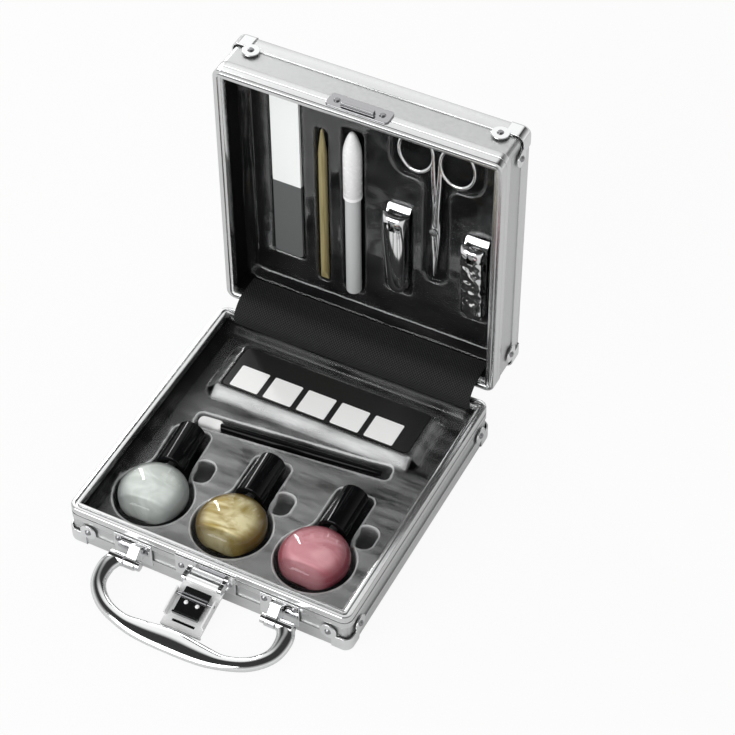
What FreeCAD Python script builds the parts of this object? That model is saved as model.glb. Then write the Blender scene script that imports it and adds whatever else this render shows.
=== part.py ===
import FreeCAD, Part
import math
import os

# Manicure case in aluminium: a shallow base and a deeper lid on a rear hinge, a bow handle and a
# flip latch on the front wall, and a clear formed tray with its tools in each half.
# Millimetres, +Z up, front wall towards -Y, lid standing open.

V = FreeCAD.Vector
ORIGIN = V(0, 0, 0)
X = V(1, 0, 0)
Y = V(0, 1, 0)
Z = V(0, 0, 1)
SIDES = (-1, 1)

# Case
case_width = 150.0
case_depth = 150.0
base_height = 24.0
lid_height = 29.5
lid_gap = 0.3
corner_radius = 3.6
least_radius = 0.6
panel_thickness = 3.0
lining_thickness = 0.8
mitre_gap = 0.1
overrun = 2.0

# Edge angles and corner caps
angle_thickness = 0.8
angle_leg = 8.0
cap_thickness = 0.8
cap_square = 9.0
cap_tab_centre = 10.6
cap_tab_radius = 4.4
cap_edge_radius = 2.2

# Rim extrusions
rim_leg = 8.0
rim_web = 2.0
rim_inner_leg = 4.0
rim_groove_drop = 3.2
rim_groove_width = 1.0
rim_groove_depth = 0.35
tongue_inset = 2.0
tongue_width = 0.9
tongue_height = 0.8
tongue_clearance = 0.2

# Rivets
rivet_radius = 1.7
rivet_crown_radius = 1.0
rivet_height = 0.8
rivet_clearance = 0.1

# Rear hinge
hinge_offset = 3.2
hinge_end_inset = 14.5
hinge_knuckles = 11
knuckle_radius = 2.1
knuckle_gap = 0.3
leaf_thickness = 0.8
leaf_height = 7.6
hinge_pin_radius = 0.9
pin_clearance = 0.05
hinge_rivets = 5

# Hinge cloth
cloth_end_inset = 9.0
cloth_thickness = 0.6
cloth_tail = 4.7
cloth_reach = 13.4
cloth_clearance = 0.1

# Latch
latch_plate_width = 32.0
latch_plate_low = 9.0
latch_plate_high = 22.0
latch_plate_thickness = 0.9
latch_rivet_spacing = 25.4
latch_pin_radius = 0.9
latch_pin_out = 3.1
latch_pin_height = 11.8
ear_thickness = 2.0
ear_radius = 2.1
ear_gap = 0.3
lever_width = 21.0
lever_length = 24.5
lever_thickness = 0.9
lever_standoff = 6.0
lever_barrel_radius = 1.8
lever_heel = 0.8
lever_flange_start = 6.0
lever_flange_end = 20.0
lever_flange_depth = 4.0
lever_flange_thickness = 0.8
lever_lip = 1.5
lever_slot_length = 12.0
lever_slot_width = 1.4
lever_slot_place = 20.0
hook_width = 13.4
hook_thickness = 0.9
hook_pin_radius = 0.8
hook_pin_place = 8.5
hook_barrel_radius = 1.5
hook_tail = 4.6
hook_lip = 1.6
hook_clearance = 0.4
table_clearance = 0.3

# Catch plate on the lid
catch_width = 32.4
catch_low = 0.9
catch_height = 8.8
catch_thickness = 0.8
catch_corner_radius = 2.0
catch_bar_width = 16.8
catch_bar_low = 2.3
catch_bar_height = 2.4
catch_bar_depth = 2.2
catch_rivet_spacing = 23.4

# Handle
handle_pivot_out = 5.8
handle_pivot_height = 8.6
handle_pin_radius = 1.7
handle_pin_head_radius = 2.5
handle_pin_head_length = 2.0
bracket_near = 35.0
bracket_length = 5.4
bracket_plate_near = 29.0
bracket_plate_width = 20.5
bracket_slope = 2.5
bracket_plate_low = 5.0
bracket_plate_high = 19.0
bracket_plate_thickness = 0.9
bracket_barrel_radius = 3.1
bracket_gap = 0.4
bow_arm_width = 8.6
bow_eye_radius = 3.2
bow_reach = 28.4
bow_arm_thickness = 5.8
bow_grip_width = 12.4
bow_grip_thickness = 6.2
bow_section_points = 8
# Along the bow from an eye to the middle: shares of the half span and of the reach, and how far the
# section has grown from the arm's to the grip's.
bow_path_shares = (
    (0.990, 0.00, 0.0),
    (1.050, 0.22, 0.0),
    (1.020, 0.56, -0.30),
    (0.850, 0.84, -0.40),
    (0.600, 0.99, -0.30),
    (0.350, 1.02, 0.45),
    (0.000, 1.00, 1.0),
)

# Clear trays
tray_sheet = 0.5
tray_clearance = 0.2
tray_slope = 4.0
tray_corner_radius = 3.0
base_flange_height = 14.0
base_border_height = 19.0
lid_flange_drop = 19.0
lid_border_drop = 14.0
pocket_clearance = 0.9
pocket_corner_radius = 2.2

# Stencil card on its raised seat
card_length = 103.0
card_width = 27.4
card_thickness = 0.6
card_centre_share = 0.5973
card_clearance = 0.3
seat_depth = 0.8
seat_top = 19.0
seat_margin = 2.6
seat_slope = 3.2
stencil_count = 5
stencil_pitch = 18.7
stencil_length = 15.6
stencil_width = 14.4
stencil_thickness = 0.3
stencil_row_offset_x = -2.5
stencil_row_offset_y = -5.6

# Nail art brush in the base
brush_centre_shares = (-0.0333, 0.1893)
brush_yaw = 6.0
brush_floor = 10.0
brush_tip_length = 12.8
brush_tip_width = 6.2
brush_tip_height = 4.2
brush_length = 100.0
brush_radius = 2.4
brush_end_radius = 1.5
brush_neck_radius = 1.9
brush_belly_share = 0.33

# Lacquer bottles, their caps and applicators
bottle_radius = 17.2
bottle_thickness = 18.5
bottle_foot = 15.4
bottle_wall = 1.4
bottle_floor = 3.0
neck_radius = 5.0
neck_length = 8.0
neck_start = 17.2
cap_radius = 7.5
cap_end_radius = 7.2
cap_length = 25.6
cap_round = 0.8
cap_bore_clearance = 0.2
cap_seat_gap = 0.3
stem_radius = 1.2
stem_length = 20.0
bristle_radius = 1.9
bristle_length = 8.0
bristle_belly_share = 0.33
applicator_clearance = 0.6
lacquer_clearance = 0.05
recess_offset = 15.2
recess_place = 22.4
recess_half_width = 4.8
recess_half_length = 6.4
recess_depth = 6.0
bottle_row_share = -0.58
bottle_place_shares = {"silver": -0.6267, "gold": -0.0533, "pink": 0.54}
bottle_yaws = {"silver": 4.0, "gold": 1.5, "pink": 0.5}

# Nail file
file_centre_shares = (-0.6373, 0.032)
file_length = 104.0
file_width = 15.6
file_thickness = 2.0
file_proud = 0.4
file_corner_radius = 2.4

# Orange stick
stick_centre_shares = (-0.3773, -0.1247)
stick_length = 98.5
stick_radius = 2.2
stick_point = 14.0
stick_point_radius = 0.5
stick_proud = 0.9
stick_chisel = 7.0
stick_chisel_edge = 0.8

# White pencil
pencil_centre_shares = (-0.152, -0.0867)
pencil_length = 104.0
pencil_cap_length = 41.0
pencil_barrel_radius = 3.9
pencil_cap_radius = 4.7
pencil_shoulder = 13.0
pencil_top_radius = 1.6
pencil_end_round = 0.8
pencil_tip_radius = 3.4
pencil_tip_length = 5.0

# Clippers
clipper_height = 12.6
clipper_middle_shares = {"large": -0.27, "small": -0.30}
clipper_lengths = {"large": 55.5, "small": 52.0}
clipper_post_radius = 1.5
clipper_post_clearance = 0.3
clipper_cross_radius = 0.7
clipper_post_share = 0.39
clipper_cross_share = 0.76
clipper_widths = {"large": 12.2, "small": 12.2}
clipper_tail_widths = {"large": 9.6, "small": 10.4}
clipper_place_shares = {"large": 0.176, "small": 0.7307}
# Side outlines: places along the length from its middle, and heights as shares of the height.
lower_leaf_shares = ((-0.5, 0.0), (0.43, 0.0), (0.5, 0.20), (0.488, 0.235), (0.42, 0.12), (-0.5, 0.12))
upper_leaf_shares = ((-0.5, 0.12), (-0.44, 0.12), (0.415, 0.37), (0.488, 0.26), (0.5, 0.29),
                     (0.43, 0.485), (-0.5, 0.24))
lever_shares = ((0.43, 0.555), (0.485, 0.62), (0.485, 0.88), (0.42, 1.0), (0.33, 0.97), (-0.40, 0.69),
                (-0.475, 0.64), (-0.475, 0.55), (-0.40, 0.575), (0.27, 0.80), (0.33, 0.68), (0.38, 0.57))

# Scissors
scissor_screw_shares = (0.44, 0.02)
scissor_thickness = 1.6
scissor_layer_gap = 0.2
scissor_ring_offset = 11.2
scissor_ring_rise = 44.5
scissor_ring_half_width = 10.0
scissor_ring_half_height = 12.7
scissor_ring_wire = 2.2
scissor_blade_length = 29.5
scissor_blade_width = 5.0
scissor_tip_width = 0.8
scissor_shank_width = 4.0
scissor_shank_end_share = 0.86
scissor_shank_rise_share = 0.35
scissor_screw_radius = 1.2
scissor_screw_head_radius = 2.2
scissor_screw_head_height = 0.8
scissor_screw_clearance = 0.06
scissor_pocket_margin = 3.2
scissor_blade_margin = 1.4
scissor_tip_margin = 6.0

# Places that follow from the sizes above
half_width = case_width / 2
half_depth = case_depth / 2
hinge_length = case_width - hinge_end_inset * 2
cloth_width = case_width - cloth_end_inset * 2
panel_inset = angle_thickness
panel_inner_inset = panel_inset + panel_thickness
interior_inset = panel_inner_inset + lining_thickness
floor_bottom = cap_thickness + angle_thickness
floor_top = floor_bottom + panel_thickness
interior_floor = floor_top + lining_thickness
pocket_floor = interior_floor + tray_sheet
mitre_reach = angle_leg + interior_inset
hinge_y = half_depth + hinge_offset
lid_back_y = hinge_y + lid_gap + lid_height
lid_middle_z = base_height + hinge_offset + half_depth
lid_flange_height = lid_height - lid_flange_drop
lid_border_height = lid_height - lid_border_drop
card_centre_y = half_depth * card_centre_share
stencil_row_y = card_centre_y + stencil_row_offset_y
brush_centre_x, brush_centre_y = half_width * brush_centre_shares[0], half_depth * brush_centre_shares[1]
bottle_row_y = half_depth * bottle_row_share
bottle_places = {name: half_width * share for name, share in bottle_place_shares.items()}
file_centre_x, file_centre_y = half_width * file_centre_shares[0], half_depth * file_centre_shares[1]
stick_centre_x = half_width * stick_centre_shares[0]
stick_low_y = half_depth * stick_centre_shares[1] - stick_length / 2
pencil_centre_x = half_width * pencil_centre_shares[0]
pencil_low_y = half_depth * pencil_centre_shares[1] - pencil_length / 2
clipper_places = {name: half_width * share for name, share in clipper_place_shares.items()}
scissor_centre_x = half_width * scissor_screw_shares[0]
scissor_screw_y = half_depth * scissor_screw_shares[1]
latch_pin_y = -half_depth - latch_pin_out
handle_pivot_y = -half_depth - handle_pivot_out
handle_tilt = math.asin((handle_pivot_height - bow_grip_thickness / 2 - table_clearance) / bow_reach)
lever_tip_out = lever_standoff + lever_thickness + lever_lip - latch_pin_out
lever_tilt = (math.asin((latch_pin_height - table_clearance) / math.hypot(lever_length, lever_tip_out))
              - math.atan2(lever_tip_out, lever_length))
front_reach = handle_pivot_out + bow_reach * math.cos(handle_tilt) + bow_grip_width / 2
frame_shift = (half_depth + front_reach - lid_back_y) / 2


# Plain shapes

def box(low, high):
    size = high.sub(low)
    return Part.makeBox(size.x, size.y, size.z, low)


def rod(radius, start, direction, length):
    return Part.makeCylinder(radius, length, start, direction)


def fused(shapes):
    first, rest = shapes[0], shapes[1:]
    return first.multiFuse(rest).removeSplitter() if rest else first


def turned(shape, centre, axis, degrees):
    copy = shape.copy()
    copy.rotate(centre, axis, degrees)
    return copy


def moved(shape, step):
    copy = shape.copy()
    copy.translate(step)
    return copy


def outline(half_x, half_y, radius, z):
    edges = []
    corners = ((1, 1), (-1, 1), (-1, -1), (1, -1))
    for index, (side_x, side_y) in enumerate(corners):
        next_x, next_y = corners[(index + 1) % len(corners)]
        centre = V(side_x * (half_x - radius), side_y * (half_y - radius), z)
        next_centre = V(next_x * (half_x - radius), next_y * (half_y - radius), z)
        quarter = 90 * index
        edges.append(Part.makeCircle(radius, centre, Z, quarter, quarter + 90))
        turn = math.radians(quarter + 90)
        step = V(radius * math.cos(turn), radius * math.sin(turn), 0)
        if next_centre.distanceToPoint(centre) > 0:
            edges.append(Part.makeLine(centre.add(step), next_centre.add(step)))
    return Part.Wire(edges)


def slab(half_x, half_y, radius, low, high):
    return Part.Face(outline(half_x, half_y, radius, low)).extrude(V(0, 0, high - low))


def frustum(bottom, top):
    return Part.makeLoft([outline(*bottom), outline(*top)], True, True)


def prism(points, direction):
    return Part.Face(Part.makePolygon(list(points) + [points[0]])).extrude(direction)


def rivet(place, direction):
    return Part.makeCone(rivet_radius, rivet_crown_radius, rivet_height, place, direction)


def revolved(profile, start, direction):
    points = [V(radius, 0, along) for radius, along in profile]
    points = [V(0, 0, points[0].z)] + points + [V(0, 0, points[-1].z)]
    solid = Part.Face(Part.makePolygon(points + [points[0]])).revolve(ORIGIN, Z, 360)
    solid.rotate(ORIGIN, Z.cross(direction), math.degrees(Z.getAngle(direction)))
    return moved(solid, start)


# Case halves, each built as a tub that opens upwards

def case_slab(inset, low, high):
    radius = max(corner_radius - inset, least_radius)
    return slab(half_width - inset, half_depth - inset, radius, low, high)


def ring(outer_inset, inner_inset, low, high):
    return case_slab(outer_inset, low, high).cut(case_slab(inner_inset, low - overrun, high + overrun))


def mitred(frame):
    low, high = frame.BoundBox.ZMin, frame.BoundBox.ZMax
    pieces = []
    for side_x, side_y in ((0, -1), (1, 0), (0, 1), (-1, 0)):
        out = V(side_x, side_y, 0)
        along = Z.cross(out)
        half_out, half_along = (half_depth, half_width) if side_y else (half_width, half_depth)
        corners = []
        for side, step in ((-1, overrun), (1, overrun), (1, -mitre_reach), (-1, -mitre_reach)):
            reach = half_along + step - mitre_gap / 2
            corners.append(out * (half_out + step) + along * (side * reach) + V(0, 0, low))
        pieces.append(frame.common(prism(corners, V(0, 0, high - low))))
    return Part.makeCompound(pieces)


def rim_frame(height, tongue):
    legs = [
        ring(0, panel_inset, height - rim_leg, height),
        ring(0, interior_inset, height - rim_web, height),
        ring(panel_inner_inset, interior_inset, height - rim_inner_leg, height),
    ]
    frame = fused(legs)
    groove_high = height - rim_groove_drop
    frame = frame.cut(ring(-overrun, rim_groove_depth, groove_high - rim_groove_width, groove_high))
    tongue_inner = tongue_inset + tongue_width
    if tongue:
        frame = frame.fuse(ring(tongue_inset, tongue_inner, height, height + tongue_height))
    else:
        frame = frame.cut(ring(tongue_inset - tongue_clearance, tongue_inner + tongue_clearance,
                               height - tongue_height - tongue_clearance, height + overrun))
    return mitred(frame)


def wall_panels(height):
    return mitred(ring(panel_inset, panel_inner_inset, floor_top, height - rim_web))


def flat_panel():
    return case_slab(panel_inset, floor_bottom, floor_top)


def edge_angles():
    wall_leg = ring(0, angle_thickness, cap_thickness, cap_thickness + angle_leg)
    floor_leg = ring(0, angle_leg, cap_thickness, floor_bottom)
    return mitred(wall_leg.fuse(floor_leg).removeSplitter())


def tub_lining(height):
    shell = case_slab(panel_inner_inset, floor_top, height - rim_inner_leg)
    return shell.cut(case_slab(interior_inset, interior_floor, height + overrun))


def corner_signs():
    return [(side_x, side_y) for side_x in SIDES for side_y in SIDES]


def tab_places(side_x, side_y):
    in_x = side_x * (half_width - cap_tab_centre)
    in_y = side_y * (half_depth - cap_tab_centre)
    return {
        "floor": (V(in_x, in_y, 0), V(0, 0, -1)),
        "side": (V(side_x * (half_width + cap_thickness), in_y, cap_tab_centre), V(side_x, 0, 0)),
        "end": (V(in_x, side_y * (half_depth + cap_thickness), cap_tab_centre), V(0, side_y, 0)),
    }


def corner_caps():
    reach = cap_tab_centre + cap_tab_radius
    outer = case_slab(-cap_thickness, 0, reach + overrun)
    lower_edges = [edge for edge in outer.Edges if edge.BoundBox.ZMax < least_radius]
    outer = outer.makeFillet(cap_edge_radius, lower_edges)
    shell = outer.cut(case_slab(0, cap_thickness, reach + overrun * 2))
    caps = []
    for side_x, side_y in corner_signs():
        outer_x, outer_y = half_width + cap_thickness + overrun, half_depth + cap_thickness + overrun
        xs = sorted((side_x * (half_width - cap_square), side_x * outer_x))
        ys = sorted((side_y * (half_depth - cap_square), side_y * outer_y))
        region = [box(V(xs[0], ys[0], -overrun), V(xs[1], ys[1], cap_square))]
        for place, out in tab_places(side_x, side_y).values():
            region.append(rod(cap_tab_radius, place + out, out * -1, cap_thickness + out.Length))
        cap = shell.common(fused(region))
        floor_place = tab_places(side_x, side_y)["floor"][0]
        caps.append(cap.cut(rod(rivet_radius + rivet_clearance, floor_place - Z * overrun, Z, overrun * 2)))
    return Part.makeCompound(caps)


def cap_rivets():
    rivets = []
    for signs in corner_signs():
        for name, (place, out) in tab_places(*signs).items():
            if name == "floor":
                length = floor_bottom - rivet_clearance
                rivets.append(rod(rivet_radius, place + Z * rivet_clearance, Z, length))
            else:
                rivets.append(rivet(place, out))
    return rivets


def opened(tub):
    return moved(turned(tub, ORIGIN, X, 90), V(0, lid_back_y, lid_middle_z))


def swung(closed_piece):
    return turned(closed_piece, V(0, hinge_y, base_height), X, -90)


# Rear hinge and its cloth

def hinge_leaf(side):
    low, high = sorted((side * (knuckle_radius - leaf_thickness), side * leaf_height))
    leg_low, leg_high = sorted((side * (knuckle_radius - leaf_thickness), side * knuckle_radius))
    half_length = hinge_length / 2
    pieces = [box(V(-half_length, half_depth, base_height + low),
                  V(half_length, half_depth + leaf_thickness, base_height + high))]
    pitch = hinge_length / hinge_knuckles
    for index in range(0 if side < 0 else 1, hinge_knuckles, 2):
        start = index * pitch - half_length + knuckle_gap / 2
        end = start + pitch - knuckle_gap
        pieces.append(rod(knuckle_radius, V(start, hinge_y, base_height), X, end - start))
        pieces.append(box(V(start, half_depth, base_height + leg_low),
                          V(end, hinge_y, base_height + leg_high)))
    bore = rod(hinge_pin_radius + pin_clearance, V(-half_length - overrun, hinge_y, base_height), X,
               hinge_length + overrun * 2)
    return fused(pieces).cut(bore)


def hinge_pin():
    return rod(hinge_pin_radius, V(-hinge_length / 2, hinge_y, base_height), X, hinge_length)


def hinge_leaf_rivets(side):
    pitch = hinge_length / hinge_rivets
    height = base_height + side * (leaf_height + knuckle_radius - leaf_thickness) / 2
    return [rivet(V((index - (hinge_rivets - 1) / 2) * pitch, half_depth + leaf_thickness, height), Y)
            for index in range(hinge_rivets)]


def hinge_cloth():
    wall_y = half_depth - interior_inset
    lid_z = base_height + hinge_offset + interior_inset
    lid_y = hinge_y + lid_gap
    near = cloth_clearance / 2
    section = [
        (wall_y, base_height - cloth_tail),
        (wall_y, base_height + near),
        (lid_y - near, lid_z),
        (lid_y + cloth_reach, lid_z),
        (lid_y + cloth_reach, lid_z + cloth_thickness),
        (lid_y - cloth_thickness / 2, lid_z + cloth_thickness),
        (wall_y - cloth_thickness, base_height + cloth_thickness / 2),
        (wall_y - cloth_thickness, base_height - cloth_tail),
    ]
    return prism([V(-cloth_width / 2, y, z) for y, z in section], X * cloth_width)


# Latch

def latch_plate():
    face = -half_depth
    plate = box(V(-latch_plate_width / 2, face - latch_plate_thickness, latch_plate_low),
                V(latch_plate_width / 2, face, latch_plate_high))
    ears = []
    for side in SIDES:
        near = lever_width / 2 - ear_thickness
        start = near if side > 0 else -lever_width / 2
        ears.append(rod(ear_radius, V(start, latch_pin_y, latch_pin_height), X, ear_thickness))
        ears.append(box(V(start, latch_pin_y, latch_pin_height - ear_radius),
                        V(start + ear_thickness, face, latch_pin_height + ear_radius)))
    bore = rod(latch_pin_radius, V(-lever_width, latch_pin_y, latch_pin_height), X, lever_width * 2)
    return fused([plate] + ears).cut(bore)


def latch_pin():
    return rod(latch_pin_radius, V(-lever_width / 2, latch_pin_y, latch_pin_height), X, lever_width)


def latch_rivets():
    height = (latch_plate_low + latch_plate_high) / 2
    return [rivet(V(side * latch_rivet_spacing / 2, -half_depth - latch_plate_thickness, height), -Y)
            for side in SIDES]


def lever_folded(shape):
    return turned(shape, V(0, latch_pin_y, latch_pin_height), X, 90 + math.degrees(lever_tilt))


def latch_lever():
    inner_y = -half_depth - lever_standoff
    outer_y = inner_y - lever_thickness
    half = lever_width / 2
    knuckle_half = half - ear_thickness - ear_gap
    low = latch_pin_height - lever_heel
    web_high = latch_pin_height + lever_heel
    high = latch_pin_height + lever_length
    pieces = [
        box(V(-half, outer_y, low), V(half, inner_y, high)),
        rod(lever_barrel_radius, V(-knuckle_half, latch_pin_y, latch_pin_height), X, knuckle_half * 2),
        box(V(-knuckle_half, outer_y, low), V(knuckle_half, latch_pin_y, web_high)),
        box(V(-half, outer_y - lever_lip, high - lever_thickness), V(half, outer_y, high)),
    ]
    for side in SIDES:
        start = half - lever_flange_thickness if side > 0 else -half
        pieces.append(box(V(start, inner_y, latch_pin_height + lever_flange_start),
                          V(start + lever_flange_thickness, inner_y + lever_flange_depth,
                            latch_pin_height + lever_flange_end)))
    body = fused(pieces)
    slot_z = latch_pin_height + lever_slot_place
    body = body.cut(box(V(-lever_slot_length / 2, outer_y - overrun, slot_z),
                        V(lever_slot_length / 2, inner_y + overrun, slot_z + lever_slot_width)))
    body = body.cut(rod(latch_pin_radius + pin_clearance, V(-half, latch_pin_y, latch_pin_height), X,
                        lever_width))
    body = body.cut(rod(hook_pin_radius, V(-half - overrun, hook_pin_y(), hook_pin_z()), X,
                        lever_width + overrun * 2))
    return lever_folded(body)


def catch_bar_face():
    return half_depth + catch_thickness + catch_bar_depth


def hook_inner_y():
    return -catch_bar_face() - hook_clearance


def hook_pin_y():
    return hook_inner_y() - hook_thickness / 2


def hook_pin_z():
    return latch_pin_height + hook_pin_place


def catch_bar_top():
    return base_height + lid_gap + catch_bar_low + catch_bar_height


def latch_hook():
    inner_y = hook_inner_y()
    half = hook_width / 2
    lip_low = catch_bar_top() + hook_clearance
    high = lip_low + hook_thickness
    pieces = [
        box(V(-half, inner_y - hook_thickness, hook_pin_z() - hook_tail), V(half, inner_y, high)),
        box(V(-half, inner_y, lip_low), V(half, inner_y + hook_lip, high)),
        rod(hook_barrel_radius, V(-half, hook_pin_y(), hook_pin_z()), X, hook_width),
    ]
    bore = rod(hook_pin_radius + pin_clearance, V(-half - overrun, hook_pin_y(), hook_pin_z()), X,
               hook_width + overrun * 2)
    return lever_folded(fused(pieces).cut(bore))


def latch_hook_pin():
    return lever_folded(rod(hook_pin_radius, V(-lever_width / 2, hook_pin_y(), hook_pin_z()), X, lever_width))


def catch_plate():
    low = base_height + lid_gap + catch_low
    half_height = catch_height / 2
    plate = slab(catch_width / 2, half_height, catch_corner_radius, 0, catch_thickness)
    plate = moved(turned(plate, ORIGIN, X, 90), V(0, -half_depth, low + half_height))
    bar_low = catch_bar_top() - catch_bar_height
    bar = box(V(-catch_bar_width / 2, -catch_bar_face(), bar_low),
              V(catch_bar_width / 2, -half_depth - catch_thickness / 2, catch_bar_top()))
    return swung(plate.fuse(bar).removeSplitter())


def catch_rivets():
    height = base_height + lid_gap + catch_low + catch_height / 2
    place = -half_depth - catch_thickness
    return [swung(rivet(V(side * catch_rivet_spacing / 2, place, height), -Y)) for side in SIDES]


# Handle

def handle_bracket(side):
    face = -half_depth
    near, far = bracket_near, bracket_near + bracket_length
    plate_xs = sorted((side * bracket_plate_near, side * (bracket_plate_near + bracket_plate_width)))
    barrel_x = near if side > 0 else -far
    pivot = V(barrel_x, handle_pivot_y, handle_pivot_height)
    plate = box(V(plate_xs[0], face - bracket_plate_thickness, bracket_plate_low),
                V(plate_xs[1], face, bracket_plate_high))
    barrel = rod(bracket_barrel_radius, pivot, X, bracket_length)
    neck = prism([
        V(barrel_x, handle_pivot_y, handle_pivot_height - bracket_barrel_radius),
        V(barrel_x, face, handle_pivot_height - bracket_barrel_radius),
        V(barrel_x, face, bracket_plate_high - bracket_slope),
        V(barrel_x, handle_pivot_y, handle_pivot_height + bracket_barrel_radius),
    ], X * bracket_length)
    bore = rod(handle_pin_radius + pin_clearance, pivot - X * overrun, X, bracket_length + overrun * 2)
    return fused([plate, barrel, neck]).cut(bore)


def bracket_rivets():
    height = bracket_plate_high - bracket_slope
    near = bracket_plate_near + bracket_slope
    far = bracket_plate_near + bracket_plate_width - bracket_slope
    return [rivet(V(side * x, -half_depth - bracket_plate_thickness, height), -Y)
            for side in SIDES for x in (near, far)]


def bow_end_x():
    return bracket_near + bracket_length + bracket_gap + bow_arm_width / 2


def bow_section(place, along, grown):
    half_across = (bow_arm_width + (bow_grip_width - bow_arm_width) * grown) / 2
    half_thick = (bow_arm_thickness + (bow_grip_thickness - bow_arm_thickness) * grown) / 2
    across = along.cross(Z)
    points = []
    for index in range(bow_section_points):
        turn = 2 * math.pi * index / bow_section_points
        points.append(place + across * (half_across * math.cos(turn)) + Z * (half_thick * math.sin(turn)))
    curve = Part.BSplineCurve()
    curve.interpolate(points, PeriodicFlag=True)
    return Part.Wire([curve.toShape()])


def bow_stations():
    half_span = bow_end_x() / bow_path_shares[0][0]
    half = [(V(half_span * across, -bow_reach * out, 0), grown) for across, out, grown in bow_path_shares]
    mirrored = [(V(-place.x, place.y, 0), grown) for place, grown in reversed(half[:-1])]
    return half + mirrored


def handle_bow():
    stations = bow_stations()
    sections = []
    for index, (place, grown) in enumerate(stations):
        before = stations[max(index - 1, 0)][0]
        after = stations[min(index + 1, len(stations) - 1)][0]
        along = after.sub(before)
        if index in (0, len(stations) - 1):
            along = V(0, -1 if index == 0 else 1, 0)
        sections.append(bow_section(place, along.normalize(), grown))
    bow = Part.makeLoft(sections, True, False)
    eyes = []
    for side in SIDES:
        start = side * bow_end_x() - bow_arm_width / 2
        eyes.append(rod(bow_eye_radius, V(start, 0, 0), X, bow_arm_width))
    bow = fused([bow] + eyes)
    bores = rod(handle_pin_radius, V(-half_width, 0, 0), X, case_width)
    return handle_placed(bow.cut(bores))


def handle_placed(shape):
    laid = turned(shape, ORIGIN, X, math.degrees(handle_tilt))
    return moved(laid, V(0, handle_pivot_y, handle_pivot_height))


def handle_pins():
    pins = []
    outer = bow_end_x() + bow_arm_width / 2
    inner = bracket_near - bracket_gap
    for side in SIDES:
        head_start = side * inner
        pin = rod(handle_pin_radius, V(head_start, 0, 0), X * side, outer - inner)
        head = rod(handle_pin_head_radius, V(head_start, 0, 0), X * -side, handle_pin_head_length)
        pins.append(handle_placed(pin.fuse(head).removeSplitter()))
    return Part.makeCompound(pins)


# Clear trays

def tray_dish(flange, border):
    half_x = half_width - interior_inset - tray_clearance
    half_y = half_depth - interior_inset - tray_clearance
    low_x, low_y = half_x - tray_slope, half_y - tray_slope
    radius, low_radius = tray_corner_radius, tray_corner_radius - tray_sheet
    outer = frustum((low_x, low_y, radius, flange - tray_sheet), (half_x, half_y, radius, border))
    inner = frustum((low_x - tray_sheet, low_y - tray_sheet, low_radius, flange),
                    (half_x - tray_sheet, half_y - tray_sheet, low_radius, border))
    return outer.cut(inner)


def with_pockets(dish, spaces, border):
    cups = [space(tray_sheet, floor - tray_sheet, flange) for space, floor, flange in spaces]
    tray = fused([dish] + cups)
    for space, floor, flange in spaces:
        tray = tray.cut(space(0, floor, border + overrun))
    return tray


def straight_space(centre, half_x, half_y, yaw=0):
    def space(grow, low, high):
        radius = min(pocket_corner_radius, half_x, half_y) + grow
        block = slab(half_x + grow, half_y + grow, radius, low, high)
        return moved(turned(block, ORIGIN, Z, yaw), V(centre.x, centre.y, 0))
    return space


def bottle_frame(shape, name):
    laid = turned(shape, ORIGIN, Z, bottle_yaws[name])
    return moved(laid, V(bottle_places[name], bottle_row_y, 0))


def bottle_space(name):
    def space(grow, low, high):
        round_part = rod(bottle_radius + pocket_clearance + grow, V(0, 0, low), Z, high - low)
        half = cap_radius + pocket_clearance + grow
        end = neck_start + cap_seat_gap + cap_length + pocket_clearance + grow
        return bottle_frame(round_part.fuse(box(V(-half, 0, low), V(half, end, high))).removeSplitter(), name)
    return space


def recess_space(name):
    def space(grow, low, high):
        half_x, half_y = recess_half_width + grow, recess_half_length + grow
        block = slab(half_x, half_y, recess_half_width - least_radius + grow, low, high)
        return bottle_frame(moved(block, V(recess_offset, recess_place, 0)), name)
    return space


def base_tray():
    flange, border = base_flange_height, base_border_height
    dish = tray_dish(flange, border)
    half_x = card_length / 2 + card_clearance + seat_margin
    half_y = card_width / 2 + card_clearance + seat_margin
    middle = V(0, card_centre_y, 0)
    low_x, low_y = half_x + seat_slope, half_y + seat_slope
    radius, low_radius = pocket_corner_radius, pocket_corner_radius + seat_slope
    under = flange - tray_sheet
    raised = frustum((low_x, low_y, low_radius, under), (half_x, half_y, radius, seat_top))
    hollow = frustum((low_x - tray_sheet, low_y - tray_sheet, low_radius - tray_sheet, under),
                     (half_x - tray_sheet, half_y - tray_sheet, radius - tray_sheet, seat_top - tray_sheet))
    dish = dish.fuse(moved(raised, middle)).cut(moved(hollow, middle))
    seat_floor = seat_top - seat_depth
    card_space = straight_space(middle, card_length / 2 + card_clearance, card_width / 2 + card_clearance)
    spaces = [(card_space, seat_floor, seat_top)]
    spaces.append((straight_space(V(brush_centre_x, brush_centre_y, 0), brush_length / 2 + pocket_clearance,
                                  brush_tip_width / 2 + pocket_clearance, brush_yaw), brush_floor, flange))
    for name in bottle_places:
        spaces.append((bottle_space(name), pocket_floor, flange))
        spaces.append((recess_space(name), flange - recess_depth, flange))
    return with_pockets(dish, spaces, border)


def scissor_space(grow, low, high):
    ring_half_x = scissor_ring_offset + scissor_ring_half_width + scissor_pocket_margin + grow
    ring_half_y = scissor_ring_half_height + scissor_pocket_margin + grow
    rings = slab(ring_half_x, ring_half_y, scissor_ring_half_width + grow, low, high)
    blade_half_x = scissor_blade_width + scissor_blade_margin + grow
    blade_low = -scissor_blade_length - scissor_tip_margin - grow
    blade_half_y = (scissor_ring_rise - blade_low) / 2
    blade = slab(blade_half_x, blade_half_y, blade_half_x - least_radius, low, high)
    pocket = moved(rings, V(0, scissor_ring_rise, 0)).fuse(moved(blade, V(0, blade_low + blade_half_y, 0)))
    return moved(pocket.removeSplitter(), V(scissor_centre_x, scissor_screw_y, 0))


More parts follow.
